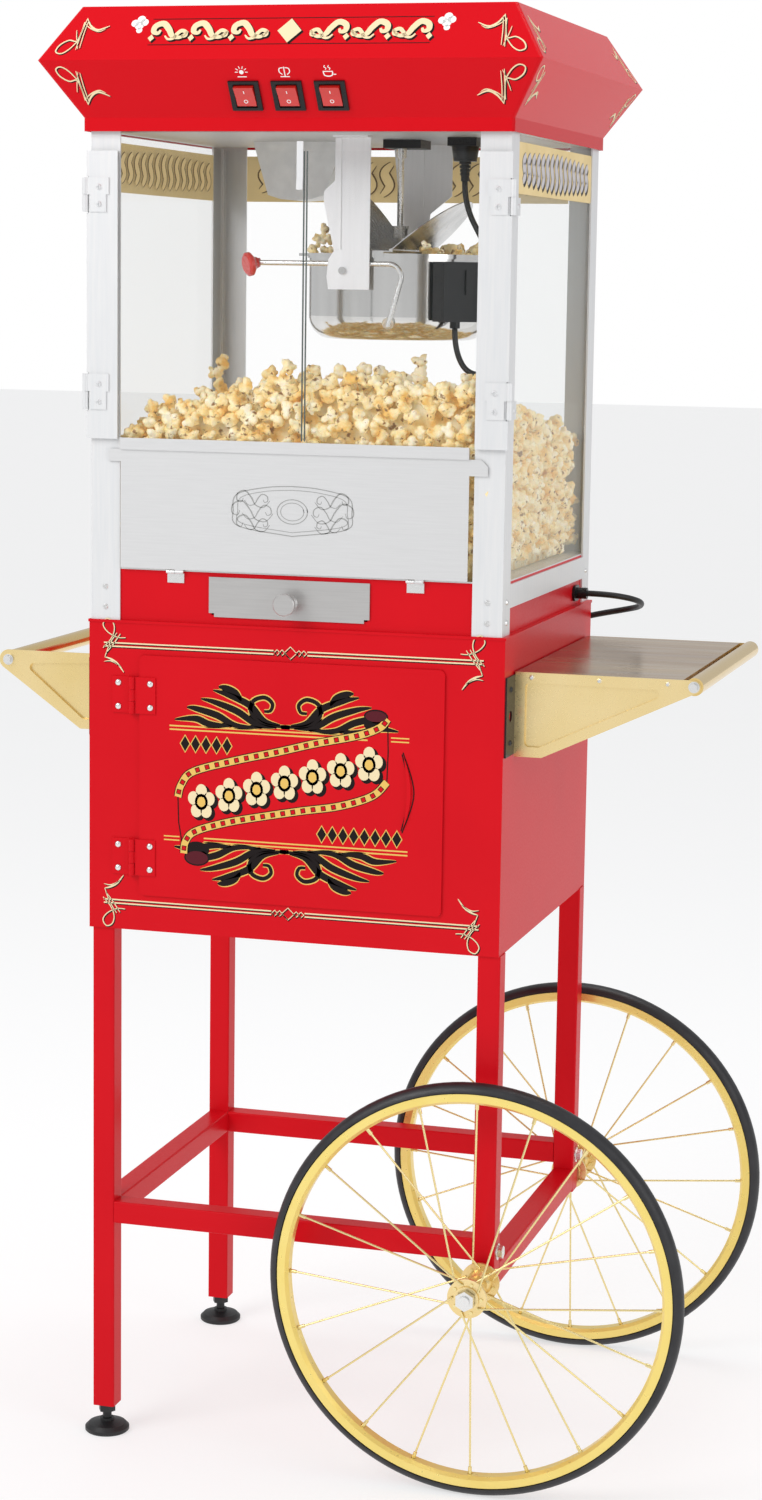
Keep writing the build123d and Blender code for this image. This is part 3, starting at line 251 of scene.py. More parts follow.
def popcorn_material():
    """Popped corn: cream and butter yellow, with brown hulls here and there, and a faint painted glow."""
    # The emission is painted light: a faint warm glow, though popcorn is no lamp.
    material = new_material("popped_corn", (0.90, 0.80, 0.58), roughness=0.62, Subsurface_Weight=0.12,
                            Subsurface_Scale=0.003, Emission_Color=(0.9, 0.72, 0.4, 1),
                            Emission_Strength=0.08)
    tree = material.node_tree
    shader = tree.nodes["Principled BSDF"]
    vector = coordinates(tree)
    colors = tree.nodes.new("ShaderNodeValToRGB")
    stops = colors.color_ramp.elements
    stops[0].position, stops[0].color = 0.36, (0.97, 0.90, 0.70, 1)
    stops[1].position, stops[1].color = 0.66, (0.84, 0.50, 0.12, 1)
    middle = stops.new(0.52)
    middle.color = (0.95, 0.77, 0.40, 1)
    tree.links.new(noise(tree, vector, 55, 4), colors.inputs["Fac"])
    hulls = tree.nodes.new("ShaderNodeMix")
    hulls.data_type = "RGBA"
    hulls.inputs["B"].default_value = (0.22, 0.09, 0.02, 1)
    spots = remap(tree, noise(tree, vector, 150, 2), 0.0, 1.0, (0.60, 0.70))
    tree.links.new(spots, hulls.inputs["Factor"])
    tree.links.new(colors.outputs["Color"], hulls.inputs["A"])
    tree.links.new(hulls.outputs["Result"], shader.inputs["Base Color"])
    add_bump(tree, noise(tree, vector, 420, 3), 0.35, 0.0012)
    return material


def make_materials():
    """Every material of the cart, by short name."""
    m = {}

    def add(short, name, look, grain, tint=None, stretch=(1, 1, 1), **sockets):
        """Material from colour, metallic and roughness, and from scale, bump, depth and roughness range."""
        scale, bump, depth, low, high = grain
        material = new_material(name, *look, **sockets)
        m[short] = add_grain_and_painted_reflection(material, scale, bump, depth, (low, high), tint, stretch)

    add("red", "red_paint", ((0.56, 0.004, 0.010), 0.0, 0.3), (420, 0.02, 0.0002, 0.28, 0.36),
        ((0.62, 0.005, 0.012), (0.66, 0.006, 0.013), 0.02), Specular_IOR_Level=0.09)
    add("red_canopy", "red_gloss_paint", ((0.64, 0.006, 0.012), 0.0, 0.24), (380, 0.02, 0.0003, 0.16, 0.24),
        Specular_IOR_Level=0.06)
    add("gold_sheet", "gold_sheet", ((0.90, 0.70, 0.34), 0.9, 0.30), (500, 0.01, 0.0001, 0.26, 0.34),
        ((0.86, 0.66, 0.29), (0.92, 0.73, 0.38), 0.02))
    # The shelf's broad streaks of light and dark bronze are painted reflections.
    add("shelf", "shelf_sheet", ((0.50, 0.35, 0.20), 1.0, 0.22), (30, 0.01, 0.0001, 0.18, 0.28),
        ((0.42, 0.27, 0.14), (0.62, 0.46, 0.27), 0.25), (0.25, 2.5, 1))
    add("brass", "polished_brass", ((0.83, 0.60, 0.24), 1.0, 0.16), (220, 0.015, 0.0002, 0.12, 0.22),
        stretch=(1, 8, 1))
    add("rim", "gold_rim", ((0.90, 0.72, 0.20), 0.55, 0.30), (120, 0.004, 0.0001, 0.27, 0.33),
        ((0.90, 0.70, 0.19), (0.93, 0.74, 0.23), 0.2), Coat_Weight=0.2)
    add("spoke", "gold_spoke", ((0.88, 0.74, 0.36), 0.9, 0.26), (500, 0.02, 0.0001, 0.2, 0.32))
    add("silver", "bright_zinc", ((0.80, 0.80, 0.79), 1.0, 0.28), (700, 0.02, 0.0001, 0.22, 0.36))
    add("tyre", "tyre_rubber", ((0.012, 0.012, 0.014), 0.0, 0.42), (900, 0.10, 0.0003, 0.34, 0.52),
        ((0.010, 0.010, 0.012), (0.022, 0.022, 0.025), 0.05))
    add("rubber", "cord_rubber", ((0.010, 0.010, 0.011), 0.0, 0.45), (1500, 0.08, 0.0002, 0.38, 0.54))
    add("frame", "frame_aluminium", ((0.74, 0.75, 0.75), 0.25, 0.40), (900, 0.01, 0.0001, 0.34, 0.44),
        ((0.72, 0.73, 0.74), (0.77, 0.77, 0.77), 0.3), (1, 1, 0.05))
    add("stainless", "brushed_stainless", ((0.70, 0.70, 0.70), 0.55, 0.40), (1400, 0.01, 0.0001, 0.36, 0.44),
        ((0.69, 0.69, 0.69), (0.72, 0.72, 0.72), 0.4), (0.04, 1, 1))
    add("drawer", "drawer_steel", ((0.50, 0.49, 0.48), 0.7, 0.36), (1400, 0.01, 0.0001, 0.32, 0.40),
        ((0.49, 0.48, 0.47), (0.53, 0.52, 0.51), 0.4), (0.04, 1, 1))
    add("hanger", "plain_steel", ((0.84, 0.84, 0.85), 0.35, 0.40), (800, 0.01, 0.0001, 0.34, 0.44),
        ((0.82, 0.82, 0.83), (0.87, 0.87, 0.88), 0.3), (1, 1, 0.06))
    add("shield", "galvanised_sheet", ((0.76, 0.77, 0.77), 0.4, 0.42), (60, 0.02, 0.0002, 0.34, 0.50),
        ((0.70, 0.71, 0.71), (0.82, 0.83, 0.83), 1.0))
    # The kettle's broad light and dark steel streaks are painted reflections.
    add("kettle", "kettle_steel", ((0.74, 0.73, 0.71), 1.0, 0.12), (26, 0, 0, 0.08, 0.16),
        ((0.68, 0.67, 0.65), (0.80, 0.79, 0.77), 1.0), (1, 1, 0.03))
    add("lid", "lid_steel", ((0.62, 0.61, 0.60), 1.0, 0.22), (60, 0.01, 0.0001, 0.16, 0.28),
        ((0.50, 0.50, 0.49), (0.74, 0.73, 0.72), 0.5))
    # The left lid is the same steel as the right one, darkened as painted shade.
    add("lid_painted_shade", "lid_steel_painted_shade", ((0.25, 0.25, 0.25), 1.0, 0.30), (200, 0.02, 0.0001, 0.22, 0.38))
    add("black", "black_plastic", ((0.010, 0.010, 0.011), 0.0, 0.30), (900, 0.05, 0.0001, 0.24, 0.38),
        Specular_IOR_Level=0.3)
    # Black paint of the gear motor; on the bracket flanges the black is painted shade of the gap beside the
    # cabinet.
    add("black_paint", "black_paint", ((0.012, 0.012, 0.013), 0.0, 0.4), (600, 0.04, 0.0002, 0.34, 0.48))
    add("rocker", "red_lens", ((0.72, 0.02, 0.015), 0.0, 0.18), (500, 0.01, 0.0001, 0.14, 0.22),
        Transmission_Weight=0.15, Coat_Weight=0.6)
    add("knob", "red_knob", ((0.62, 0.03, 0.02), 0.0, 0.28), (500, 0.02, 0.0001, 0.22, 0.34), Coat_Weight=0.4)
    # The tan sign panels glow by emission: painted light, as if lit from the bulb inside.
    add("tan", "tan_panel_painted_glow", ((0.62, 0.44, 0.20), 0.0, 0.5), (90, 0.01, 0.0002, 0.42, 0.56),
        ((0.58, 0.45, 0.21), (0.66, 0.52, 0.26), 0.3), Specular_IOR_Level=0.2,
        Emission_Color=(0.62, 0.48, 0.24, 1), Emission_Strength=0.28)
    add("ceiling", "ceiling_sheet", ((0.60, 0.60, 0.60), 0.6, 0.4), (300, 0.02, 0.0002, 0.34, 0.46))
    m["glass"] = glass_material("clear_glass", (0.70, 0.76, 0.75), 0.006, 0.22)
    m["popcorn"] = popcorn_material()
    # The flap scrollwork's darker steel is painted shade of the embossing.
    add("painted_embossing_shade", "steel_painted_embossing_shade", ((0.42, 0.42, 0.41), 1.0, 0.42), (900, 0.02, 0.0001, 0.36, 0.48))
    add("pane_edge", "pane_edge", ((0.10, 0.12, 0.115), 0.0, 0.2), (400, 0.01, 0.0001, 0.16, 0.26))
    add("bulb", "frosted_bulb", ((0.92, 0.90, 0.84), 0.0, 0.35), (300, 0.02, 0.0001, 0.3, 0.4),
        Emission_Color=(1, 0.92, 0.75, 1), Emission_Strength=0.6)
    for ink, color, gloss in (("cream", (0.86, 0.72, 0.45), 0.4),
                              ("gold_ink", (0.80, 0.52, 0.13), 0.35),
                              ("black_ink", (0.012, 0.008, 0.008), 0.35),
                              ("white_ink", (0.9, 0.9, 0.88), 0.4),
                              ("pearl_ink", (0.60, 0.58, 0.60), 0.35),
                              ("brown_ink", (0.16, 0.10, 0.045), 0.4),
                              ("plum_ink", (0.10, 0.012, 0.02), 0.4)):
        add(ink, ink, (color, 0.0, gloss), (700, 0.02, 0.0001, gloss - 0.05, gloss + 0.06),
            Specular_IOR_Level=0.12)
    return m


MATS = make_materials()
NODE_MATERIALS = {
    "red": ("legs", "rails", "cabinet_shell", "cabinet_door", "machine_base", "cabinet_fittings",
            "door_fittings"),
    "red_canopy": ("canopy_shell",),
    "gold_sheet": ("side_brackets", "front_wheel_hub", "rear_wheel_hub"),
    "shelf": ("shelf_plate",),
    "brass": ("side_bars",),
    "rim": ("front_wheel_rim", "rear_wheel_rim"),
    "spoke": ("front_wheel_spokes", "rear_wheel_spokes"),
    "silver": ("axle", "fasteners", "drive_shaft", "shaft_sleeve", "kettle_handle", "flap_tabs"),
    "tyre": ("front_wheel_tyre", "rear_wheel_tyre"),
    "rubber": ("mains_cord", "cord_coil", "kettle_lead", "front_foot", "rear_foot"),
    "frame": ("aluminium_frame", "left_door_frame", "right_door_frame"),
    "stainless": ("front_flap", "popcorn_deck"),
    "drawer": ("kernel_drawer",),
    "hanger": ("hangers",),
    "shield": ("lamp_shield",),
    "kettle": ("kettle_pot", "kettle_stirrer"),
    "lid": ("right_lid",),
    # The left lid's darker steel is painted shade.
    "lid_painted_shade": ("left_lid",),
    "black": ("mains_plug", "lead_plug", "cord_gland", "switch_bodies", "terminal_box"),
    # The bracket flanges' black is painted shade; the gear motor's black is its own paint.
    "black_paint": ("bracket_flanges", "gear_motor"),
    "rocker": ("light_rocker", "stir_rocker", "kettle_rocker"),
    "knob": ("handle_knob",),
    "tan": ("sign_panels",),
    "popcorn": ("popcorn_heap",),
    "ceiling": ("ceiling_panel",),
    "glass": ("fixed_panes", "left_door_pane", "right_door_pane"),
    "bulb": ("lamp_bulb",),
}
for short_name, node_names in NODE_MATERIALS.items():
    for node_name in node_names:
        for node_slot in NODES[node_name].material_slots:
            node_slot.material = MATS[short_name]

# ---------------------------------------------------------------- cords
LEAD_R, CORD_R = 0.0031, 0.0035         # radii, in metres
LEAD_ROUTE = [(374, 150, 1403), (374, 150, 1378), (398, 148, 1336), (424, 142, 1288), (436, 136, 1240),
              (424, 131, 1202), (388, 131, 1194), (369.7, 134.7, 1222), (369.7, 134.7, 1246)]
MAINS_ROUTE = [(475, 358, 942), (495, 358, 942), (520, 370, 938), (532, 394, 931), (526, 420, 923),
               (505, 437, 917), (466, 437, 909), (413, 437, 895), (366, 437, 866), (338, 437, 820),
               (330, 437, 768)]
COIL_C, COIL_R, COIL_TURNS, STEPS = (291.0, 437.0, 690.0), 39.0, 5, 16
RING_R, RING_STEP = 7.2, 60             # turns lie on a ring round the bundle's middle, this far apart


def coil_route():
    """Turns of the tied coil, each a cord's width beside the last."""
    points = []
    for step in range(COIL_TURNS * STEPS + 1):
        turns = step / STEPS
        around = math.radians(RING_STEP * turns)
        angle = 2 * math.pi * turns
        radius = COIL_R + RING_R * math.cos(around)
        depth = RING_R * math.sin(around)
        points.append((COIL_C[0] + radius * math.cos(angle), COIL_C[1] + depth,
                       COIL_C[2] - radius * math.sin(angle)))
    return points


def route_length(points):
    """Length of a line through points."""
    return sum((b - a).length for a, b in zip(points, points[1:]))


def add_mains_cord():
    """Mains cord: from the gland, down behind the cabinet, through its coil, to the plug."""
    coil = coil_route()
    entry = [(coil[0][0] - 3, 437, 736), (coil[0][0], 437, 710)]
    tail = [(coil[-1][0], coil[-1][1] - 1.5, 668), (332, 433, 648), (330, 437, 636), (330, 437, 624)]
    route = [mm(*p) for p in MAINS_ROUTE + entry + coil + tail]
    cord = spline_curve("mains_cord_run", route)
    length = route_length(curve_points(cord))
    cord.data.bevel_depth = CORD_R
    cord.data.materials.append(MATS["rubber"])
    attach(cord, "cart")
    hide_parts("mains_cord", "cord_coil")
    print("mains cord length", round(length, 3))


def add_kettle_lead():
    """Kettle lead: from the ceiling plug, in a loop, up into the kettle's terminal box."""
    line = spline_curve("lead_line", [mm(*p) for p in LEAD_ROUTE])
    points = curve_points(line)
    bpy.data.objects.remove(line)
    verts, faces = tube_mesh(points, LEAD_R)
    lead = mesh_object("kettle_lead_run", verts, faces, MATS["rubber"])
    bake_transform(lead)
    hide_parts("kettle_lead")


add_mains_cord()
add_kettle_lead()


# ---------------------------------------------------------------- popcorn
DECK_Z = 985.0
FRONT_CREST = [(12, 1120), (50, 1142), (119, 1178), (200, 1194), (264, 1198), (360, 1194), (452, 1186)]
BACK_CREST = [(12, 1098), (50, 1106), (119, 1118), (200, 1124), (264, 1126), (360, 1126), (452, 1120)]
HEAP_X, HEAP_Y = (12.0, 452.0), (8.0, 410.0)
STACKS = ((95, 1146, 6), (209, 1174, 3), (262, 1179, 2), (331, 1175, 4), (24, 1124, 3))
STACK_Y = 150.0                         # little stacks of flakes stand up from the heap here
FLAKE, KETTLE_FLAKE = 12.0, 9.5         # usual radius of a popped flake
KETTLE_RIM = 1325.0                     # height of the kettle's rim
RANDOM = np.random.default_rng(7)


def crest(x, y):
    """Height of the heap above the floor at a place in the case."""
    share = (y - HEAP_Y[0]) / (HEAP_Y[1] - HEAP_Y[0])
    front = np.interp(x, *zip(*FRONT_CREST))
    back = np.interp(x, *zip(*BACK_CREST))
    return front * (1 - share) + back * share


def flake_shapes(count=9):
    """Vertices and triangles of popped flakes: spheres pushed out by overlapping lobes."""
    ball = bmesh.new()
    bmesh.ops.create_icosphere(ball, subdivisions=3, radius=1)
    rays = np.array([v.co.normalized() for v in ball.verts])
    triangles = np.array([[v.index for v in f.verts] for f in ball.faces])
    ball.free()
    shapes = []
    for _ in range(count):
        reach = np.full(len(rays), 0.42)
        for _ in range(RANDOM.integers(6, 10)):
            centre = RANDOM.normal(size=3)
            centre *= RANDOM.uniform(0.42, 0.66) / np.linalg.norm(centre)
            size = RANDOM.uniform(0.26, 0.42)
            along = rays @ centre
            inside = size ** 2 - centre @ centre + along ** 2
            hit = (inside > 0) & (along > 0)
            reach[hit] = np.maximum(reach[hit], along[hit] + np.sqrt(inside[hit]))
        reach *= 1 + 0.05 * RANDOM.normal(size=len(rays))
        shapes.append(rays * reach[:, None])
    return shapes, triangles


def random_turn():
    """Random rotation matrix."""
    turn, _ = np.linalg.qr(RANDOM.normal(size=(3, 3)))
    return turn * np.sign(np.linalg.det(turn))


def add_flakes(name, places, body, shapes, triangles, size=FLAKE):
    """One object of many flakes, each turned and sized at random, riding on a body."""
    points, faces = [], []
    for number, place in enumerate(places):
        shape = shapes[RANDOM.integers(len(shapes))] @ random_turn()
        points.append(shape * size * RANDOM.uniform(0.8, 1.1) + place)
        faces.append(triangles + number * len(shape))
    points = (np.concatenate(points) + (LEFT_X, FRONT_Y, 0)) / 1000
    obj = mesh_object(name, points.tolist(), np.concatenate(faces).tolist(), MATS["popcorn"])
    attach(obj, body)
    return obj


def jitter(amount):
    """Small random step either way."""
    return RANDOM.uniform(-amount, amount)


def heap_places():
    """Flake centres over the top of the heap and down its four sides."""
    step, inner, low = 15.5, 19, 14         # spacing, depth of the second layer, end of the side columns
    x0, x1, y0, y1 = 20.5, 443.5, 12.0, 401.5
    places = []
    for x in np.arange(x0, x1, step):
        for y in np.arange(y0, y1, step):
            top = crest(x, y) - 8 + jitter(6)
            places.append((np.clip(x + jitter(5), x0, x1), np.clip(y + jitter(5), y0, y1), top))
            if RANDOM.random() < 0.10:
                places.append((np.clip(x + jitter(5), x0, x1), y, top + 15))
    for x, z, count in STACKS:
        places += [(x + jitter(7), STACK_Y + jitter(4), z + 11.5 * rise) for rise in range(count)]
    for x in np.arange(x0 + step / 2, x1, step):
        for y in np.arange(y0 + step / 2, y1, step):
            places.append((x + jitter(3), y + jitter(3), crest(x, y) - inner + jitter(4)))
    for x in np.arange(x0, x1, step):
        for y in (y0, y1):
            for z in np.arange(DECK_Z + inner, crest(x, y) - low, step):
                places.append((np.clip(x + jitter(8), x0, x1), y + jitter(0.5), z + jitter(7)))
    for y in np.arange(y0 + step, y1 - step / 2, step):
        for x in (x0, x1):
            for z in np.arange(DECK_Z + inner, crest(x, y) - low, step):
                places.append((x + jitter(0.5), y + jitter(8), z + jitter(7)))
    return places


def add_mound():
    """Lumpy body of the heap, under its outer flakes."""
    inset, drop, bumps = 14.0, 21.0, 5.0
    columns = np.linspace(HEAP_X[0] + inset, HEAP_X[1] - inset, 46)
    rows = np.linspace(HEAP_Y[0] + inset, HEAP_Y[1] - inset, 42)
    ground = [(x, y) for y in rows for x in columns]
    verts = [mm(x, y, crest(x, y) - drop + jitter(bumps)) for x, y in ground]
    verts += [mm(x, y, DECK_Z + 1) for x, y in ground]
    faces = []
    across, count = len(columns), len(ground)
    for j in range(len(rows) - 1):
        for i in range(across - 1):
            a = j * across + i
            faces.append((a, a + 1, a + across + 1, a + across))
            faces.append(tuple(count + k for k in (a, a + across, a + across + 1, a + 1)))
    rim = list(range(across))
    rim += [j * across + across - 1 for j in range(1, len(rows))]
    rim += [(len(rows) - 1) * across + i for i in range(across - 2, -1, -1)]
    rim += [j * across for j in range(len(rows) - 2, 0, -1)]
    for a, b in zip(rim, rim[1:] + rim[:1]):
        faces.append((a, a + count, b + count, b))
    mound = mesh_object("popcorn_mound", verts, faces, MATS["popcorn"])
    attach(mound, "cart")
    return mound


def kettle_places():
    """Flake centres in the kettle: level under the left lid, piled up under the right one."""
    places, pile = [], []
    for radius, count in ((88, 34), (72, 28), (55, 20), (38, 12)):
        for number in range(count):
            angle = 2 * math.pi * (number + jitter(0.3)) / count
            x, y = radius * math.cos(angle), radius * math.sin(angle)
            if abs(y) > 86 or abs(x) < 16:
                continue
            places.append((KETTLE[0] + x, KETTLE[1] + y, KETTLE_RIM - 12 + jitter(2)))
            if x > 40 and RANDOM.random() < 0.8:
                pile.append((KETTLE[0] + x - 4, KETTLE[1] + y, KETTLE_RIM + 4 + jitter(5)))
    return places, pile


def add_popcorn():
    """The heap in the case, and the flakes in the kettle, piled up where its lids are open."""
    shapes, triangles = flake_shapes()
    mound = add_mound()
    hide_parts("popcorn_heap")
    groups = {}
    for place in heap_places():
        depth = "front" if place[1] < STACK_Y + 50 else "back"
        side = "left" if place[0] < 160 else "middle" if place[0] < 305 else "right"
        groups.setdefault(f"popcorn_{depth}_{side}", []).append(place)
    for name, places in groups.items():
        add_flakes(name, places, "cart", shapes, triangles)
    level, pile = kettle_places()
    add_flakes("popcorn_in_kettle", level, "kettle", shapes, triangles, KETTLE_FLAKE)
    heaped = add_flakes("popcorn_kettle_pile", pile, "kettle", shapes, triangles, KETTLE_FLAKE)
    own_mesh(heaped)
    spill = [(200 + 10 * k, 163 + 13 * (k % 2) + jitter(2), KETTLE_RIM + 3) for k in range(4)]
    spill += [(204, 169, KETTLE_RIM + 14), (214, 173, KETTLE_RIM + 15), (209, 170, KETTLE_RIM + 26)]
    spilled = add_flakes("popcorn_left_pile", spill, "kettle", shapes, triangles, 9.0)
    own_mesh(spilled)


# ---------------------------------------------------------------- painted ornament
UPRIGHT = ((1, 0, 0), (0, 0, 1))        # right and up directions, seen from the front


class Face:
    """Flat place for paint: an origin, a right and an up direction, and the way out."""

    def __init__(self, origin, right, up):
        self.origin = mm(*origin)
        self.right = Vector(right).normalized()
        self.up = Vector(up).normalized()
        self.out = self.right.cross(self.up)

    def spot(self, point, lift):
        """Point of the frame from right and up distances and a lift, in millimetres."""
        x, y = float(point[0]), float(point[1])
        return self.origin + (self.right * x + self.up * y + self.out * lift) / 1000


def smooth(points, steps=8):
    """Rounded line through points."""
    ends = np.array([points[0], *points, points[-1]], float)
    line = []
    for a, b, c, d in zip(ends, ends[1:], ends[2:], ends[3:]):
        for t in np.linspace(0, 1, steps, endpoint=False):
            bend = (2 * a - 5 * b + 4 * c - d) * t ** 2 + (3 * b - a - 3 * c + d) * t ** 3
            line.append(0.5 * (2 * b + (c - a) * t + bend))
    line.append(ends[-1])
    return np.array(line)


def stroke(line, width, taper=0.0, shift=(0, 0)):
    """Edge points in pairs along a line, thinner toward its ends by the taper."""
    line = np.array(line, float) + shift
    ahead = np.gradient(line, axis=0)
    ahead /= np.linalg.norm(ahead, axis=1)[:, None]
    side = np.stack([-ahead[:, 1], ahead[:, 0]], axis=1)
    swell = np.sin(np.pi * np.linspace(0.03, 0.97, len(line)))
    half = (width / 2 * (1 - taper + taper * swell))[:, None]
    return "strip", list(zip(line + side * half, line - side * half))


def bar(x0, x1, y, width, shift=(0, 0)):
    """Level line of one width."""
    return stroke([(x0, y), ((x0 + x1) / 2, y), (x1, y)], width, shift=shift)


def outline(points, shift=(0, 0)):
    """Filled shape with no hollows in its outline."""
    return "plate", [(x + shift[0], y + shift[1]) for x, y in points]


def ellipse(x, y, wide, high, count=20):
    """Points round an ellipse."""
    angles = np.linspace(0, 2 * math.pi, count, endpoint=False)
    return [(x + wide * math.cos(a), y + high * math.sin(a)) for a in angles]


def ring(x, y, wide, high, width):
    """Line of one width round an ellipse."""
    points = ellipse(x, y, wide, high, 24)
    return stroke(points + points[:2], width)


def lozenge(x, y, wide, high):
    """Points of a diamond."""
    return [(x - wide, y), (x, y - high), (x + wide, y), (x, y + high)]


PAINT_BASE, PAINT_TOP, SHADOW_TOP = 0.02, 0.25, 0.12   # distances from the painted face


def paint(name, face, body, ink, shapes, top):
    """Thin raised paint on a face, made of strokes and filled outlines."""
    mesh = bmesh.new()
    for kind, shape in shapes:
        if kind == "strip":
            rows = [[mesh.verts.new(face.spot(p, lift)) for p, lift in
                     ((left, PAINT_BASE), (right, PAINT_BASE), (right, top), (left, top))]
                    for left, right in shape]
            for near, far in zip(rows, rows[1:]):
                for k in range(4):
                    mesh.faces.new((near[k], near[(k + 1) % 4], far[(k + 1) % 4], far[k]))
            mesh.faces.new(rows[0])
            mesh.faces.new(rows[-1])
        else:
            low = [mesh.verts.new(face.spot(p, PAINT_BASE)) for p in shape]
            high = [mesh.verts.new(face.spot(p, top)) for p in shape]
            mesh.faces.new(low)
            mesh.faces.new(high)
            for k in range(len(shape)):
                n = (k + 1) % len(shape)
                mesh.faces.new((low[k], low[n], high[n], high[k]))
    bmesh.ops.recalc_face_normals(mesh, faces=mesh.faces)
    data = bpy.data.meshes.new(name)
    mesh.to_mesh(data)
    mesh.free()
    obj = new_object(name, data, MATS[ink])
    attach(obj, body)
    return obj


def shadowed(name, face, shapes, shadow, top=PAINT_TOP):
    """Cream paint on the cart with black paint under it."""
    paint(name + "_shadow", face, "cart", "black_ink", shadow, SHADOW_TOP)
    paint(name, face, "cart", "cream", shapes, top)


# ---------------------------------------------------------------- canopy paint
CANOPY_FLOURISH = [
    ([(25, 48), (24, 36), (21, 24), (12, 25), (3, 19), (0, 11), (6, 8), (14, 13), (22, 24)], 1.5, 0.3),
    ([(27, 52), (24, 34), (22, 13)], 1.2, 0.4),
    ([(29, 50), (27, 34), (26, 15)], 1.0, 0.4),
    ([(18, 38), (20, 28), (24, 14)], 0.9, 0.4),
    ([(27, 53), (33, 43), (42, 38), (54, 43)], 2.4, 0.8),
    ([(26, 46), (33, 40), (43, 36), (50, 39)], 1.4, 0.8),
]
CANOPY_TOP = (236.0, 220.0, 1576.5)     # half the width, half the depth and the height
CANOPY_EDGE = (272.0, 256.5, 1519.0)
CANOPY_SKIRT = (235.0, 218.0, 1462.0)
CANOPY_MID = (231.0, 211.0)


def canopy_face(side, upper):
    """Sloping face of the canopy, its origin at the middle of the wide edge."""
    right = {"front": (1, 0), "right": (0, 1), "back": (-1, 0), "left": (0, -1)}[side]
    out = (right[1], -right[0])
    far = CANOPY_TOP if upper else CANOPY_SKIRT
    half, half_far = (CANOPY_EDGE[1], far[1]) if out[1] else (CANOPY_EDGE[0], far[0])
    origin = (CANOPY_MID[0] + out[0] * half, CANOPY_MID[1] + out[1] * half, CANOPY_EDGE[2])
    slope = (out[0] * (half_far - half), out[1] * (half_far - half), far[2] - CANOPY_EDGE[2])
    up = slope if upper else tuple(-step for step in slope)
    return Face(origin, (*right, 0), up)


def flourish(lines, place, flip_x, flip_y, shift=(0, 0), grow=0.0):
    """Pinstripe flourish at a place, mirrored either way."""
    strokes = []
    for points, width, taper in lines:
        line = [(place[0] + flip_x * x, place[1] + flip_y * y) for x, y in points]
        strokes.append(stroke(smooth(line), width + grow, taper, shift))
    return strokes


def scroll(x, y, flip, size, width, shift=(0, 0)):
    """S-shaped scroll with a curled end."""
    points = [(-15, -2), (-8, -9), (1, -7), (6, 1), (13, 8), (21, 5), (22, -2), (17, -4), (15, 0)]
    line = [(x + flip * px * size, y + py * size) for px, py in points]
    return stroke(smooth(line), width, 0.75, shift)


def centre_scrolls(shift=(0, 0), grow=0.0):
    """Row of scrolls either side of a diamond, with a small diamond between them."""
    shapes = [outline(lozenge(0, 35, 13 + grow, 15 + grow), shift)]
    for flip in (-1, 1):
        for number in range(3):
            middle = flip * (38 + 44 * number)
            shapes.append(scroll(middle, 37, flip, 1.02, 7.0 + grow, shift))
            shapes.append(scroll(middle, 31, -flip, 0.62, 4.5 + grow, shift))
            shapes.append(outline(lozenge(middle + flip * 24, 27, 3.5 + grow, 4.5 + grow), shift))
    return shapes


def add_canopy_paint():
    """Flourishes at the corners of all eight slopes, and scrolls on the upper front."""
    for side in ("front", "right", "back", "left"):
        wide = 253.0 if side in ("front", "back") else 236.0
        for upper in (True, False):
            face = canopy_face(side, upper)
            flip_y = 1 if upper else -1
            strokes, shadow = [], []
            for flip_x in (1, -1):
                place = (-flip_x * wide, 0)
                strokes += flourish(CANOPY_FLOURISH, place, flip_x, flip_y)
                shadow += flourish(CANOPY_FLOURISH, place, flip_x, flip_y, (1.3, -1.1))
            name = f"canopy_{side}_{'upper' if upper else 'lower'}_flourish"
            shadowed(name, face, strokes, shadow)
    face = canopy_face("front", True)
    lines = [bar(-152, 152, y, 0.9) for y in (18.5, 51.0)]
    shadow = centre_scrolls((2.0, -1.8), 0.5) + lines
    shadowed("canopy_front_scrolls", face, centre_scrolls(), shadow, PAINT_TOP + 0.1)
    puffs = []
    for flip in (-1, 1):
        for dx, dy, size in ((0, 0, 5), (5, 4, 4.5), (-5, 3, 4.5), (1, 8, 4.5), (1, -6, 3.4)):
            puffs.append(outline(ellipse(flip * 166 + dx, 43 + dy, size, size, 14)))
    paint("canopy_front_puffs", face, "cart", "white_ink", puffs, 0.22)


# ---------------------------------------------------------------- switch marks
SWITCH_X, SWITCH_Z = (182.5, 229.2, 275.9), 1484.0
SIGN_RISE = 53.5                        # up the slope from the skirt to the switch signs
SWITCH_BODIES = ("light_switch", "stir_switch", "kettle_switch")


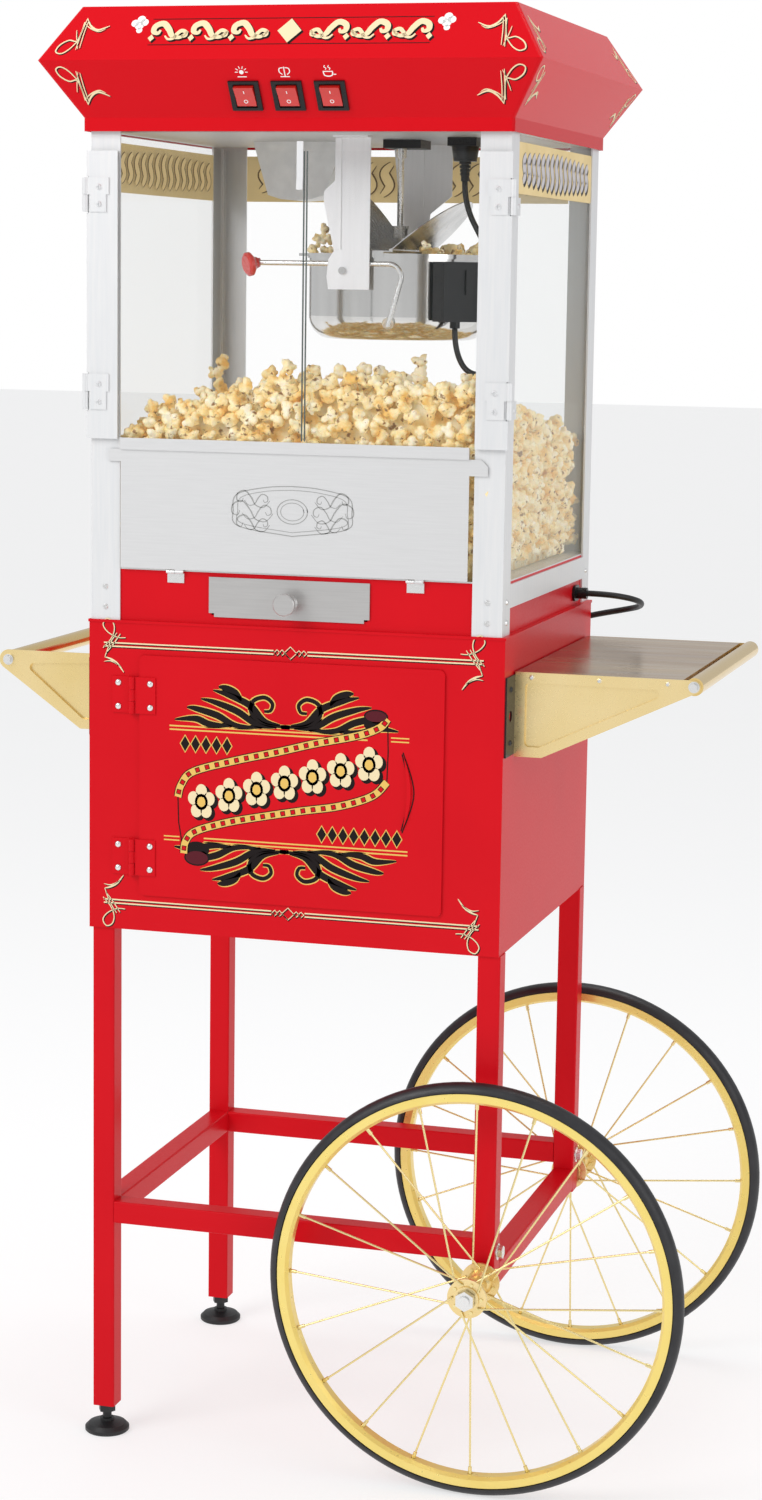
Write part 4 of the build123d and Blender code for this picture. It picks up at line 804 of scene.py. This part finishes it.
def add_switch_marks():
    """White sign above each switch, and a line and a ring on each rocker."""
    foot = (0, CANOPY_MID[1] - CANOPY_SKIRT[1], CANOPY_SKIRT[2])
    slope = (0, CANOPY_SKIRT[1] - CANOPY_EDGE[1], CANOPY_EDGE[2] - CANOPY_SKIRT[2])
    face = Face(foot, (1, 0, 0), slope)
    light = [outline(ellipse(0, 0, 2.4, 2.4)), bar(-5, 5, -5.4, 1.0)]
    for angle in range(0, 181, 36):
        turn = math.radians(angle)
        light.append(stroke([(r * math.cos(turn), r * math.sin(turn)) for r in (4, 5.5, 7)], 0.8))
    stir = [bar(-5, 5, -5.4, 1.0), stroke([(0, -5), (0, 0), (0, 6)], 1.0)]
    for flip in (-1, 1):
        arc = [(flip * 1, 5), (flip * 5, 4), (flip * 5.5, 0), (flip * 2.5, -3)]
        stir.append(stroke(smooth(arc), 1.1, 0.3))
    warm = [stroke(smooth([(-5, 0), (-4, -4), (0, -5.2), (4, -4), (5, 0)]), 1.2),
            bar(-5.4, 5.4, 0.4, 1.0), bar(5.5, 8.5, -3, 1.0)]
    for x in (-2.4, 1.8):
        warm.append(stroke(smooth([(x, 2.4), (x + 1, 4), (x - 1, 5.6), (x, 7.4)]), 0.8))
    marks = []
    for x, shapes in zip(SWITCH_X, (light, stir, warm)):
        for kind, shape in shapes:
            moved = np.array(shape, float) + (x, SIGN_RISE)
            marks.append((kind, moved.tolist()))
    paint("switch_signs", face, "cart", "white_ink", marks, 0.2)
    along = Vector(slope).normalized()
    out = Vector((1, 0, 0)).cross(along)
    middle = Vector(foot) + along * (SWITCH_Z - foot[2]) / along.z
    for x, body in zip(SWITCH_X, SWITCH_BODIES):
        for low, high, start, rise in ((0.0, 11.8, 3.6, 2.6), (-11.8, 0.0, 2.2, 1.4)):
            tilt = (along * (high - low) + out * rise).normalized()
            origin = middle + along * low + out * start
            mark = Face((x, origin.y, origin.z), (1, 0, 0), tilt)
            if low == 0:
                shapes, name = [stroke([(0, 4.2), (0, 6), (0, 7.8)], 0.9)], "_line"
            else:
                shapes, name = [ring(0, 6, 1.9, 1.9, 0.8)], "_ring"
            paint(body + name, mark, body, "white_ink", shapes, 0.15)


# ---------------------------------------------------------------- cabinet paint
STRIPE_X = (17.0, 443.0)
DOOR_Y = -2.5                           # front of the cabinet's door
SCREW_GAP = 0.1                         # gap from the hinge leaf to a screw dome
CABINET_FLOURISH = [
    ([(26, 8), (17, 8), (6, 13), (0, 21), (4, 28), (11, 25), (13, 16), (9, 6), (0, -4)], 1.2, 0.3),
    ([(20, 12), (13, 2), (4, -9)], 1.1, 0.4),
    ([(16, 13), (8, 1), (2, -14)], 1.1, 0.4),
    ([(2, -14), (9, -16), (17, -21), (24, -30)], 2.2, 0.8),
    ([(1, -19), (8, -18), (14, -20), (20, -24)], 1.3, 0.8),
]


def stripe_row(z, flip, shift=(0, 0), grow=0.0):
    """Double pinstripe with diamonds in its middle and a flourish at each end."""
    middle = sum(STRIPE_X) / 2
    shapes = []
    for y in (z - 1.9, z + 1.9):
        for x0, x1 in ((STRIPE_X[0], middle - 19), (middle + 19, STRIPE_X[1])):
            shapes.append(bar(x0, x1, y, 1.5 + grow, shift))
    for x, size in ((0, 7), (-9.5, 3.2), (9.5, 3.2), (-15, 3.2), (15, 3.2)):
        points = lozenge(middle + x, z, size, size * 0.95)
        shapes.append(stroke(points + points[:2], 1.1 + grow, shift=shift))
    for end, flip_x in ((STRIPE_X[0] - 1, 1), (STRIPE_X[1] + 1, -1)):
        shapes += flourish(CABINET_FLOURISH, (end, z), flip_x, flip, shift, grow)
    return shapes


def add_cabinet_paint():
    """Pinstripes along the top and bottom of the cabinet's front."""
    face = Face((0, 0, 0), *UPRIGHT)
    for name, z, flip in (("top", 901.0, 1), ("bottom", 616.5, -1)):
        shadow = stripe_row(z, flip, (0.9, -0.9), 0.4)
        shadowed(f"cabinet_{name}_stripes", face, stripe_row(z, flip), shadow)


# ---------------------------------------------------------------- door banner
BAND_TOP = [(104, 738), (108, 752), (122, 767), (171, 782), (215, 793), (259, 805), (306, 816), (331, 826),
            (340, 836)]
BAND_LOW = [(111, 676), (113, 689), (124, 701), (160, 713), (200, 722), (245, 731), (288, 739), (324, 752),
            (340, 768)]
ROSETTES = [(131 + 31.5 * number, 734 + 8.6 * number) for number in range(7)]
LEAVES = [
    [(8, 4), (-10, 8), (-27, 24), (-52, 34), (-68, 38)],
    [(4, 1), (-18, 3), (-40, 16), (-66, 25), (-82, 28)],
    [(-12, 0), (-42, 1), (-64, 11), (-88, 17), (-98, 18)],
    [(-46, 0), (-72, 1), (-88, 6), (-112, 4)],
    [(-36, 28), (-42, 36), (-54, 41), (-62, 42)],
]
CURL = [(9, 2), (-18, 4), (-34, 14), (-33, 28), (-20, 33), (-11, 27), (-13, 19), (-20, 18)]


def leaf_shapes(z, flip, grow):
    """Leaves and a curl each side of the middle, above or below a line."""
    shapes = []
    for side in (-1, 1):
        for leaf in LEAVES:
            line = [(226 - side * (x - 14), z + flip * (y + 3)) for x, y in leaf]
            shapes.append(stroke(smooth(line), 7.5 + grow, 0.9))
        line = [(226 - side * (x - 4), z + flip * (y + 3)) for x, y in CURL]
        shapes.append(stroke(smooth(line), 4.5 + grow, 0.4))
    return shapes


def band_blocks(line, size, every=11.6):
    """Small squares at even steps along a band."""
    line = smooth(line, 16)
    lengths = np.concatenate([[0], np.cumsum(np.linalg.norm(np.diff(line, axis=0), axis=1))])
    blocks = []
    for along in np.arange(every / 2, lengths[-1], every):
        x, y = (np.interp(along, lengths, line[:, k]) for k in (0, 1))
        nx, ny = (np.interp(min(along + 1, lengths[-1]), lengths, line[:, k]) for k in (0, 1))
        ahead = np.array([nx - x, ny - y]) / max(np.hypot(nx - x, ny - y), 1e-6)
        side = np.array([-ahead[1], ahead[0]])
        corners = [(-1, -1), (1, -1), (1, 1), (-1, 1)]
        blocks.append(outline([np.array([x, y]) + size * (a * ahead + b * side) for a, b in corners]))
    return blocks


def puff_row(grow, shift):
    """Seven five-petalled rosettes up the slope of the ribbon, in place of words."""
    shapes = []
    for x, y in ROSETTES:
        for petal in range(5):
            angle = math.radians(90 + 72 * petal)
            place = (x + 9.4 * math.cos(angle), y + 12 * math.sin(angle))
            shapes.append(outline(ellipse(*place, 6.4 + grow, 7.6 + grow, 16), shift))
        shapes.append(outline(ellipse(x, y, 7.5 + grow, 9 + grow, 16), shift))
    return shapes


def add_door_paint():
    """A ribbon with a beaded border between two leafy scrolls, on the cabinet door."""
    face = Face((0, DOOR_Y, 0), *UPRIGHT)

    def on_door(name, ink, shapes, top):
        """One layer of the door's paint."""
        paint("door_" + name, face, "door", ink, shapes, top)

    high, low = (816.0, 812.0), (690.0, 694.0)
    gold = leaf_shapes(high[0], 1, 2.6) + leaf_shapes(low[0], -1, 2.6)
    gold += [bar(94, 318, z, 1.6) for z in high] + [bar(134, 364, z, 1.6) for z in low]
    gold += [bar(344, 364, z, 1.4) for z in reversed(high)] + [bar(88, 106, z, 1.4) for z in low]
    on_door("leaf_edges", "gold_ink", gold, 0.15)
    on_door("leaves", "black_ink", leaf_shapes(high[0], 1, 0) + leaf_shapes(low[0], -1, 0), 0.28)
    bands = [smooth(BAND_TOP), smooth(BAND_LOW)]
    ends = [[BAND_TOP[0], (105, 710), BAND_LOW[0]], [BAND_TOP[-1], (341, 800), BAND_LOW[-1]]]
    black = [stroke(band, 9.6) for band in bands] + [stroke(end, 1.2) for end in ends]
    rolls = [(327, 838, 13.5, 7.5), (126, 672, 14.5, 9.0)]
    black += [outline(ellipse(x, z - 9 * (1 if z > 750 else -1), w, h)) for x, z, w, h in rolls]
    black += [outline(ellipse(*roll)) for roll in rolls]
    on_door("ribbon_edges", "black_ink", black, 0.20)
    inner = [outline(ellipse(x, z, w - 1.6, h - 1.6)) for x, z, w, h in rolls]
    on_door("ribbon_rolls", "plum_ink", inner, 0.34)
    on_door("ribbon_bands", "gold_ink", [stroke(band, 7.8) for band in bands], 0.32)
    for name, ink, size, top in (("bead_edges", "black_ink", 2.7, 0.38), ("beads", "red", 1.9, 0.44)):
        on_door(name, ink, band_blocks(BAND_TOP, size) + band_blocks(BAND_LOW, size), top)
    on_door("rosette_shadows", "black_ink", puff_row(1.0, (3.0, -2.4)), 0.14)
    on_door("rosettes", "cream", puff_row(0.0, (0, 0)), 0.30)
    centres = [outline(ellipse(x, y, 4.6, 5.6, 16)) for x, y in ROSETTES]
    on_door("rosette_hearts", "gold_ink", centres, 0.40)
    for name, x0, z, count in (("upper", 112, 797, 5), ("lower", 268, 707, 8)):
        for layer, ink, wide, tall, top in (("mark_edges", "gold_ink", 6.2, 10.2, 0.15),
                                            ("marks", "black_ink", 5.0, 8.5, 0.28)):
            row = [outline(lozenge(x0 + 12 * n, z, wide, tall)) for n in range(count)]
            on_door(f"{name}_{layer}", ink, row, top)


def dome(x, y, z, radius, high, rings=4, sides=16):
    """Vertices and faces of a closed dome that stands out toward the front."""
    verts = []
    for level in range(rings):
        tilt = math.pi / 2 * level / rings
        flat = radius * math.cos(tilt)
        for k in range(sides):
            turn = 2 * math.pi * k / sides
            verts.append(mm(x + flat * math.cos(turn), y - high * math.sin(tilt), z + flat * math.sin(turn)))
    verts.append(mm(x, y - high, z))
    faces = []
    for level in range(rings - 1):
        for k in range(sides):
            a, b = level * sides + k, level * sides + (k + 1) % sides
            faces.append((a, b, b + sides, a + sides))
    last = (rings - 1) * sides
    faces += [(last + k, last + (k + 1) % sides, len(verts) - 1) for k in range(sides)]
    faces.append(tuple(reversed(range(sides))))
    return verts, faces


def add_hinge_screws():
    """Zinc domes on the screws of the cabinet's red hinges, and painted shade along the edges of the pull."""
    for body, x, y in (("cart", 34.3, -1.5), ("door", 72.0, -4.0)):
        verts, faces = [], []
        for z in (655, 681, 834, 860):
            points, sides = dome(x, y - SCREW_GAP, z, 3.7, 2.1)
            faces += [tuple(len(verts) + k for k in side) for side in sides]
            verts += points
        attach(mesh_object(body + "_hinge_screws", verts, faces, MATS["silver"]), body)
    # Black strokes along both edges of the pull are painted shade.
    edges = [stroke(smooth([(356.5, 716), (364.9, 757.5), (356.5, 799)]), 1.2),
             stroke(smooth([(357.5, 714), (370.2, 757.5), (357.5, 801)]), 1.2)]
    paint("pull_painted_shade", Face((0, DOOR_Y, 0), *UPRIGHT), "door", "black_ink", edges, 0.3)


# ---------------------------------------------------------------- flap and sign ornament
def add_flap_ornament():
    """Fine raised scrollwork in the middle of the steel flap, in darker steel as painted shade of its
    embossing.
    """
    face = Face((231, -1.7, 1052), *UPRIGHT)
    shapes = [ring(0, 0, 17, 13, 0.8), ring(0, 0, 13, 9.5, 0.6)]
    for flip in (-1, 1):
        for dy, size in ((13, 1.0), (0, 1.25), (-13, 1.0)):
            shapes.append(scroll(flip * 40, dy, flip, size, 1.3))
            shapes.append(scroll(flip * 43, dy - 1, -flip, size * 0.7, 1.0))
        arch = [(0, 27), (flip * 30, 25), (flip * 62, 17), (flip * 66, 0), (flip * 60, -17), (0, -26)]
        shapes.append(stroke(smooth(arch), 0.9))
        inner = [(0, 23), (flip * 29, 21), (flip * 57, 14), (flip * 61, 0), (flip * 56, -14), (0, -22)]
        shapes.append(stroke(smooth(inner), 0.6))
    piece = paint("flap_ornament", face, "flap", "painted_embossing_shade", shapes, 0.3)


def sign_waves(half, shift=(0, 0), grow=0.0):
    """Row of tall leaning waves, for a sign strip."""
    shapes = []
    for x in np.linspace(-half, half, 2 * round(half / 22) + 1):
        high = 19 - 5 * abs(x) / half
        line = [(x - 6, -high), (x + 3, -high * 0.4), (x - 3, high * 0.4), (x + 6, high)]
        shapes.append(stroke(smooth(line), 12.5 + grow, 0.6, shift))
    return shapes


SIGN_Z, SIDE_HALF, BACK_HALF = 1413.5, 150, 172
EDGE_TOP, WAVE_TOP = 0.2, 0.32


def add_signs():
    """Generic wavy ornament on the tan strips at the top of the fixed panes."""
    back, front = ((-1, 0, 0), (0, 0, 1)), UPRIGHT
    right, left = ((0, 1, 0), (0, 0, 1)), ((0, -1, 0), (0, 0, 1))
    # On the inner faces the waves are in the glowing tan material, which is painted light.
    outside, inside = ("black_ink", 1.8, "pearl_ink", 0.0), ("brown_ink", 2.4, "tan", -1.6)
    shadow = sign_waves(SIDE_HALF, (3.2, -3.0), 1.6)
    paint("right_sign_shadow", Face((461.0, 211, SIGN_Z), *right), "cart", "black_ink", shadow, SHADOW_TOP)
    for name, x, y, turn, half, look in (
            ("right_sign", 461.0, 211, right, SIDE_HALF, outside),
            ("left_sign", 7.0, 211, right, SIDE_HALF, inside),
            ("back_sign", 232, 414.8, front, BACK_HALF, inside),
            ("left_sign_outer", 3.0, 211, left, SIDE_HALF, outside),
            ("back_sign_outer", 232, 418.8, back, BACK_HALF, outside)):
        face = Face((x, y, SIGN_Z), *turn)
        edge_ink, edge_grow, wave_ink, wave_grow = look
        paint(name + "_edges", face, "cart", edge_ink, sign_waves(half, grow=edge_grow), EDGE_TOP)
        paint(name + "_waves", face, "cart", wave_ink, sign_waves(half, grow=wave_grow), WAVE_TOP)


BOX_CORNERS = ((0, 0, 0), (1, 0, 0), (1, 1, 0), (0, 1, 0), (0, 0, 1), (1, 0, 1), (1, 1, 1), (0, 1, 1))
BOX_FACES = ((0, 3, 2, 1), (4, 5, 6, 7), (0, 1, 5, 4), (1, 2, 6, 5), (2, 3, 7, 6), (3, 0, 4, 7))
EDGE_WIDE, EDGE_PROUD = 0.0012, 0.0001  # strip's width, and how far it stands out, in metres


def add_pane_edges():
    """Polished edges of the glass doors: a narrow dark strip down each side of a pane."""
    for node, body in (("left_door_pane", "left_glass_door"), ("right_door_pane", "right_glass_door")):
        low, high = (Vector(corner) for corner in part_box(node))
        verts = []
        for x in (low.x, high.x - EDGE_WIDE):
            for across, deep, tall in BOX_CORNERS:
                y = high.y + EDGE_PROUD if deep else low.y - EDGE_PROUD
                verts.append((x + across * EDGE_WIDE, y, high.z if tall else low.z))
        faces = [tuple(base + k for k in face) for base in (0, len(BOX_CORNERS)) for face in BOX_FACES]
        edge = mesh_object(node + "_edges", verts, faces, MATS["pane_edge"], smooth=False)
        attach(edge, body)


add_popcorn()
add_canopy_paint()
add_switch_marks()
add_cabinet_paint()
add_door_paint()
add_hinge_screws()
add_flap_ornament()
add_signs()
add_pane_edges()


# ---------------------------------------------------------------- stage and light
def add_world():
    """Even pale surroundings: white behind the cart, dimmer where they light it."""
    world = bpy.data.worlds.new("world")
    world.use_nodes = True
    tree = world.node_tree
    dim, white = tree.nodes["Background"], tree.nodes.new("ShaderNodeBackground")
    dim.inputs["Color"].default_value = (0.97, 0.98, 1.0, 1)
    dim.inputs["Strength"].default_value = 0.62
    white.inputs["Color"].default_value = (1, 1, 1, 1)
    white.inputs["Strength"].default_value = 1.0
    rays, mix = tree.nodes.new("ShaderNodeLightPath"), tree.nodes.new("ShaderNodeMixShader")
    tree.links.new(rays.outputs["Is Camera Ray"], mix.inputs[0])
    tree.links.new(dim.outputs["Background"], mix.inputs[1])
    tree.links.new(white.outputs["Background"], mix.inputs[2])
    tree.links.new(mix.outputs["Shader"], tree.nodes["World Output"].inputs["Surface"])
    bpy.context.scene.world = world


def add_stage():
    """Plain pale floor and soft area lights."""
    pale = new_material("pale_floor", (0.42, 0.42, 0.42), roughness=0.8, Specular_IOR_Level=0.1,
                        Emission_Color=(1, 1, 1, 1), Emission_Strength=0.60)
    reach = 30
    corners = [(-reach, -reach, 0), (reach, -reach, 0), (reach, reach, 0), (-reach, reach, 0)]
    grained = add_grain_and_painted_reflection(pale, 3, 0, 0, (0.75, 0.85))
    mesh_object("floor", corners, [(0, 1, 2, 3)], grained, smooth=False)
    for name, place, aim, size, power in (
            ("key", (-1.9, -2.6, 2.9), (0, 0, 0.9), 1.8, 55),
            ("fill", (2.9, -1.6, 1.7), (0.1, 0, 0.9), 2.0, 18),
            ("top", (0.2, 0.4, 3.6), (0, 0, 1.0), 1.6, 30)):
        data = bpy.data.lights.new(name, "AREA")
        data.size = size
        data.energy = power
        lamp = new_object(name, data)
        lamp.location = place
        lamp.rotation_euler = (Vector(aim) - Vector(place)).to_track_quat("-Z", "Y").to_euler()
    bpy.context.scene.view_settings.view_transform = "Standard"


add_world()
add_stage()
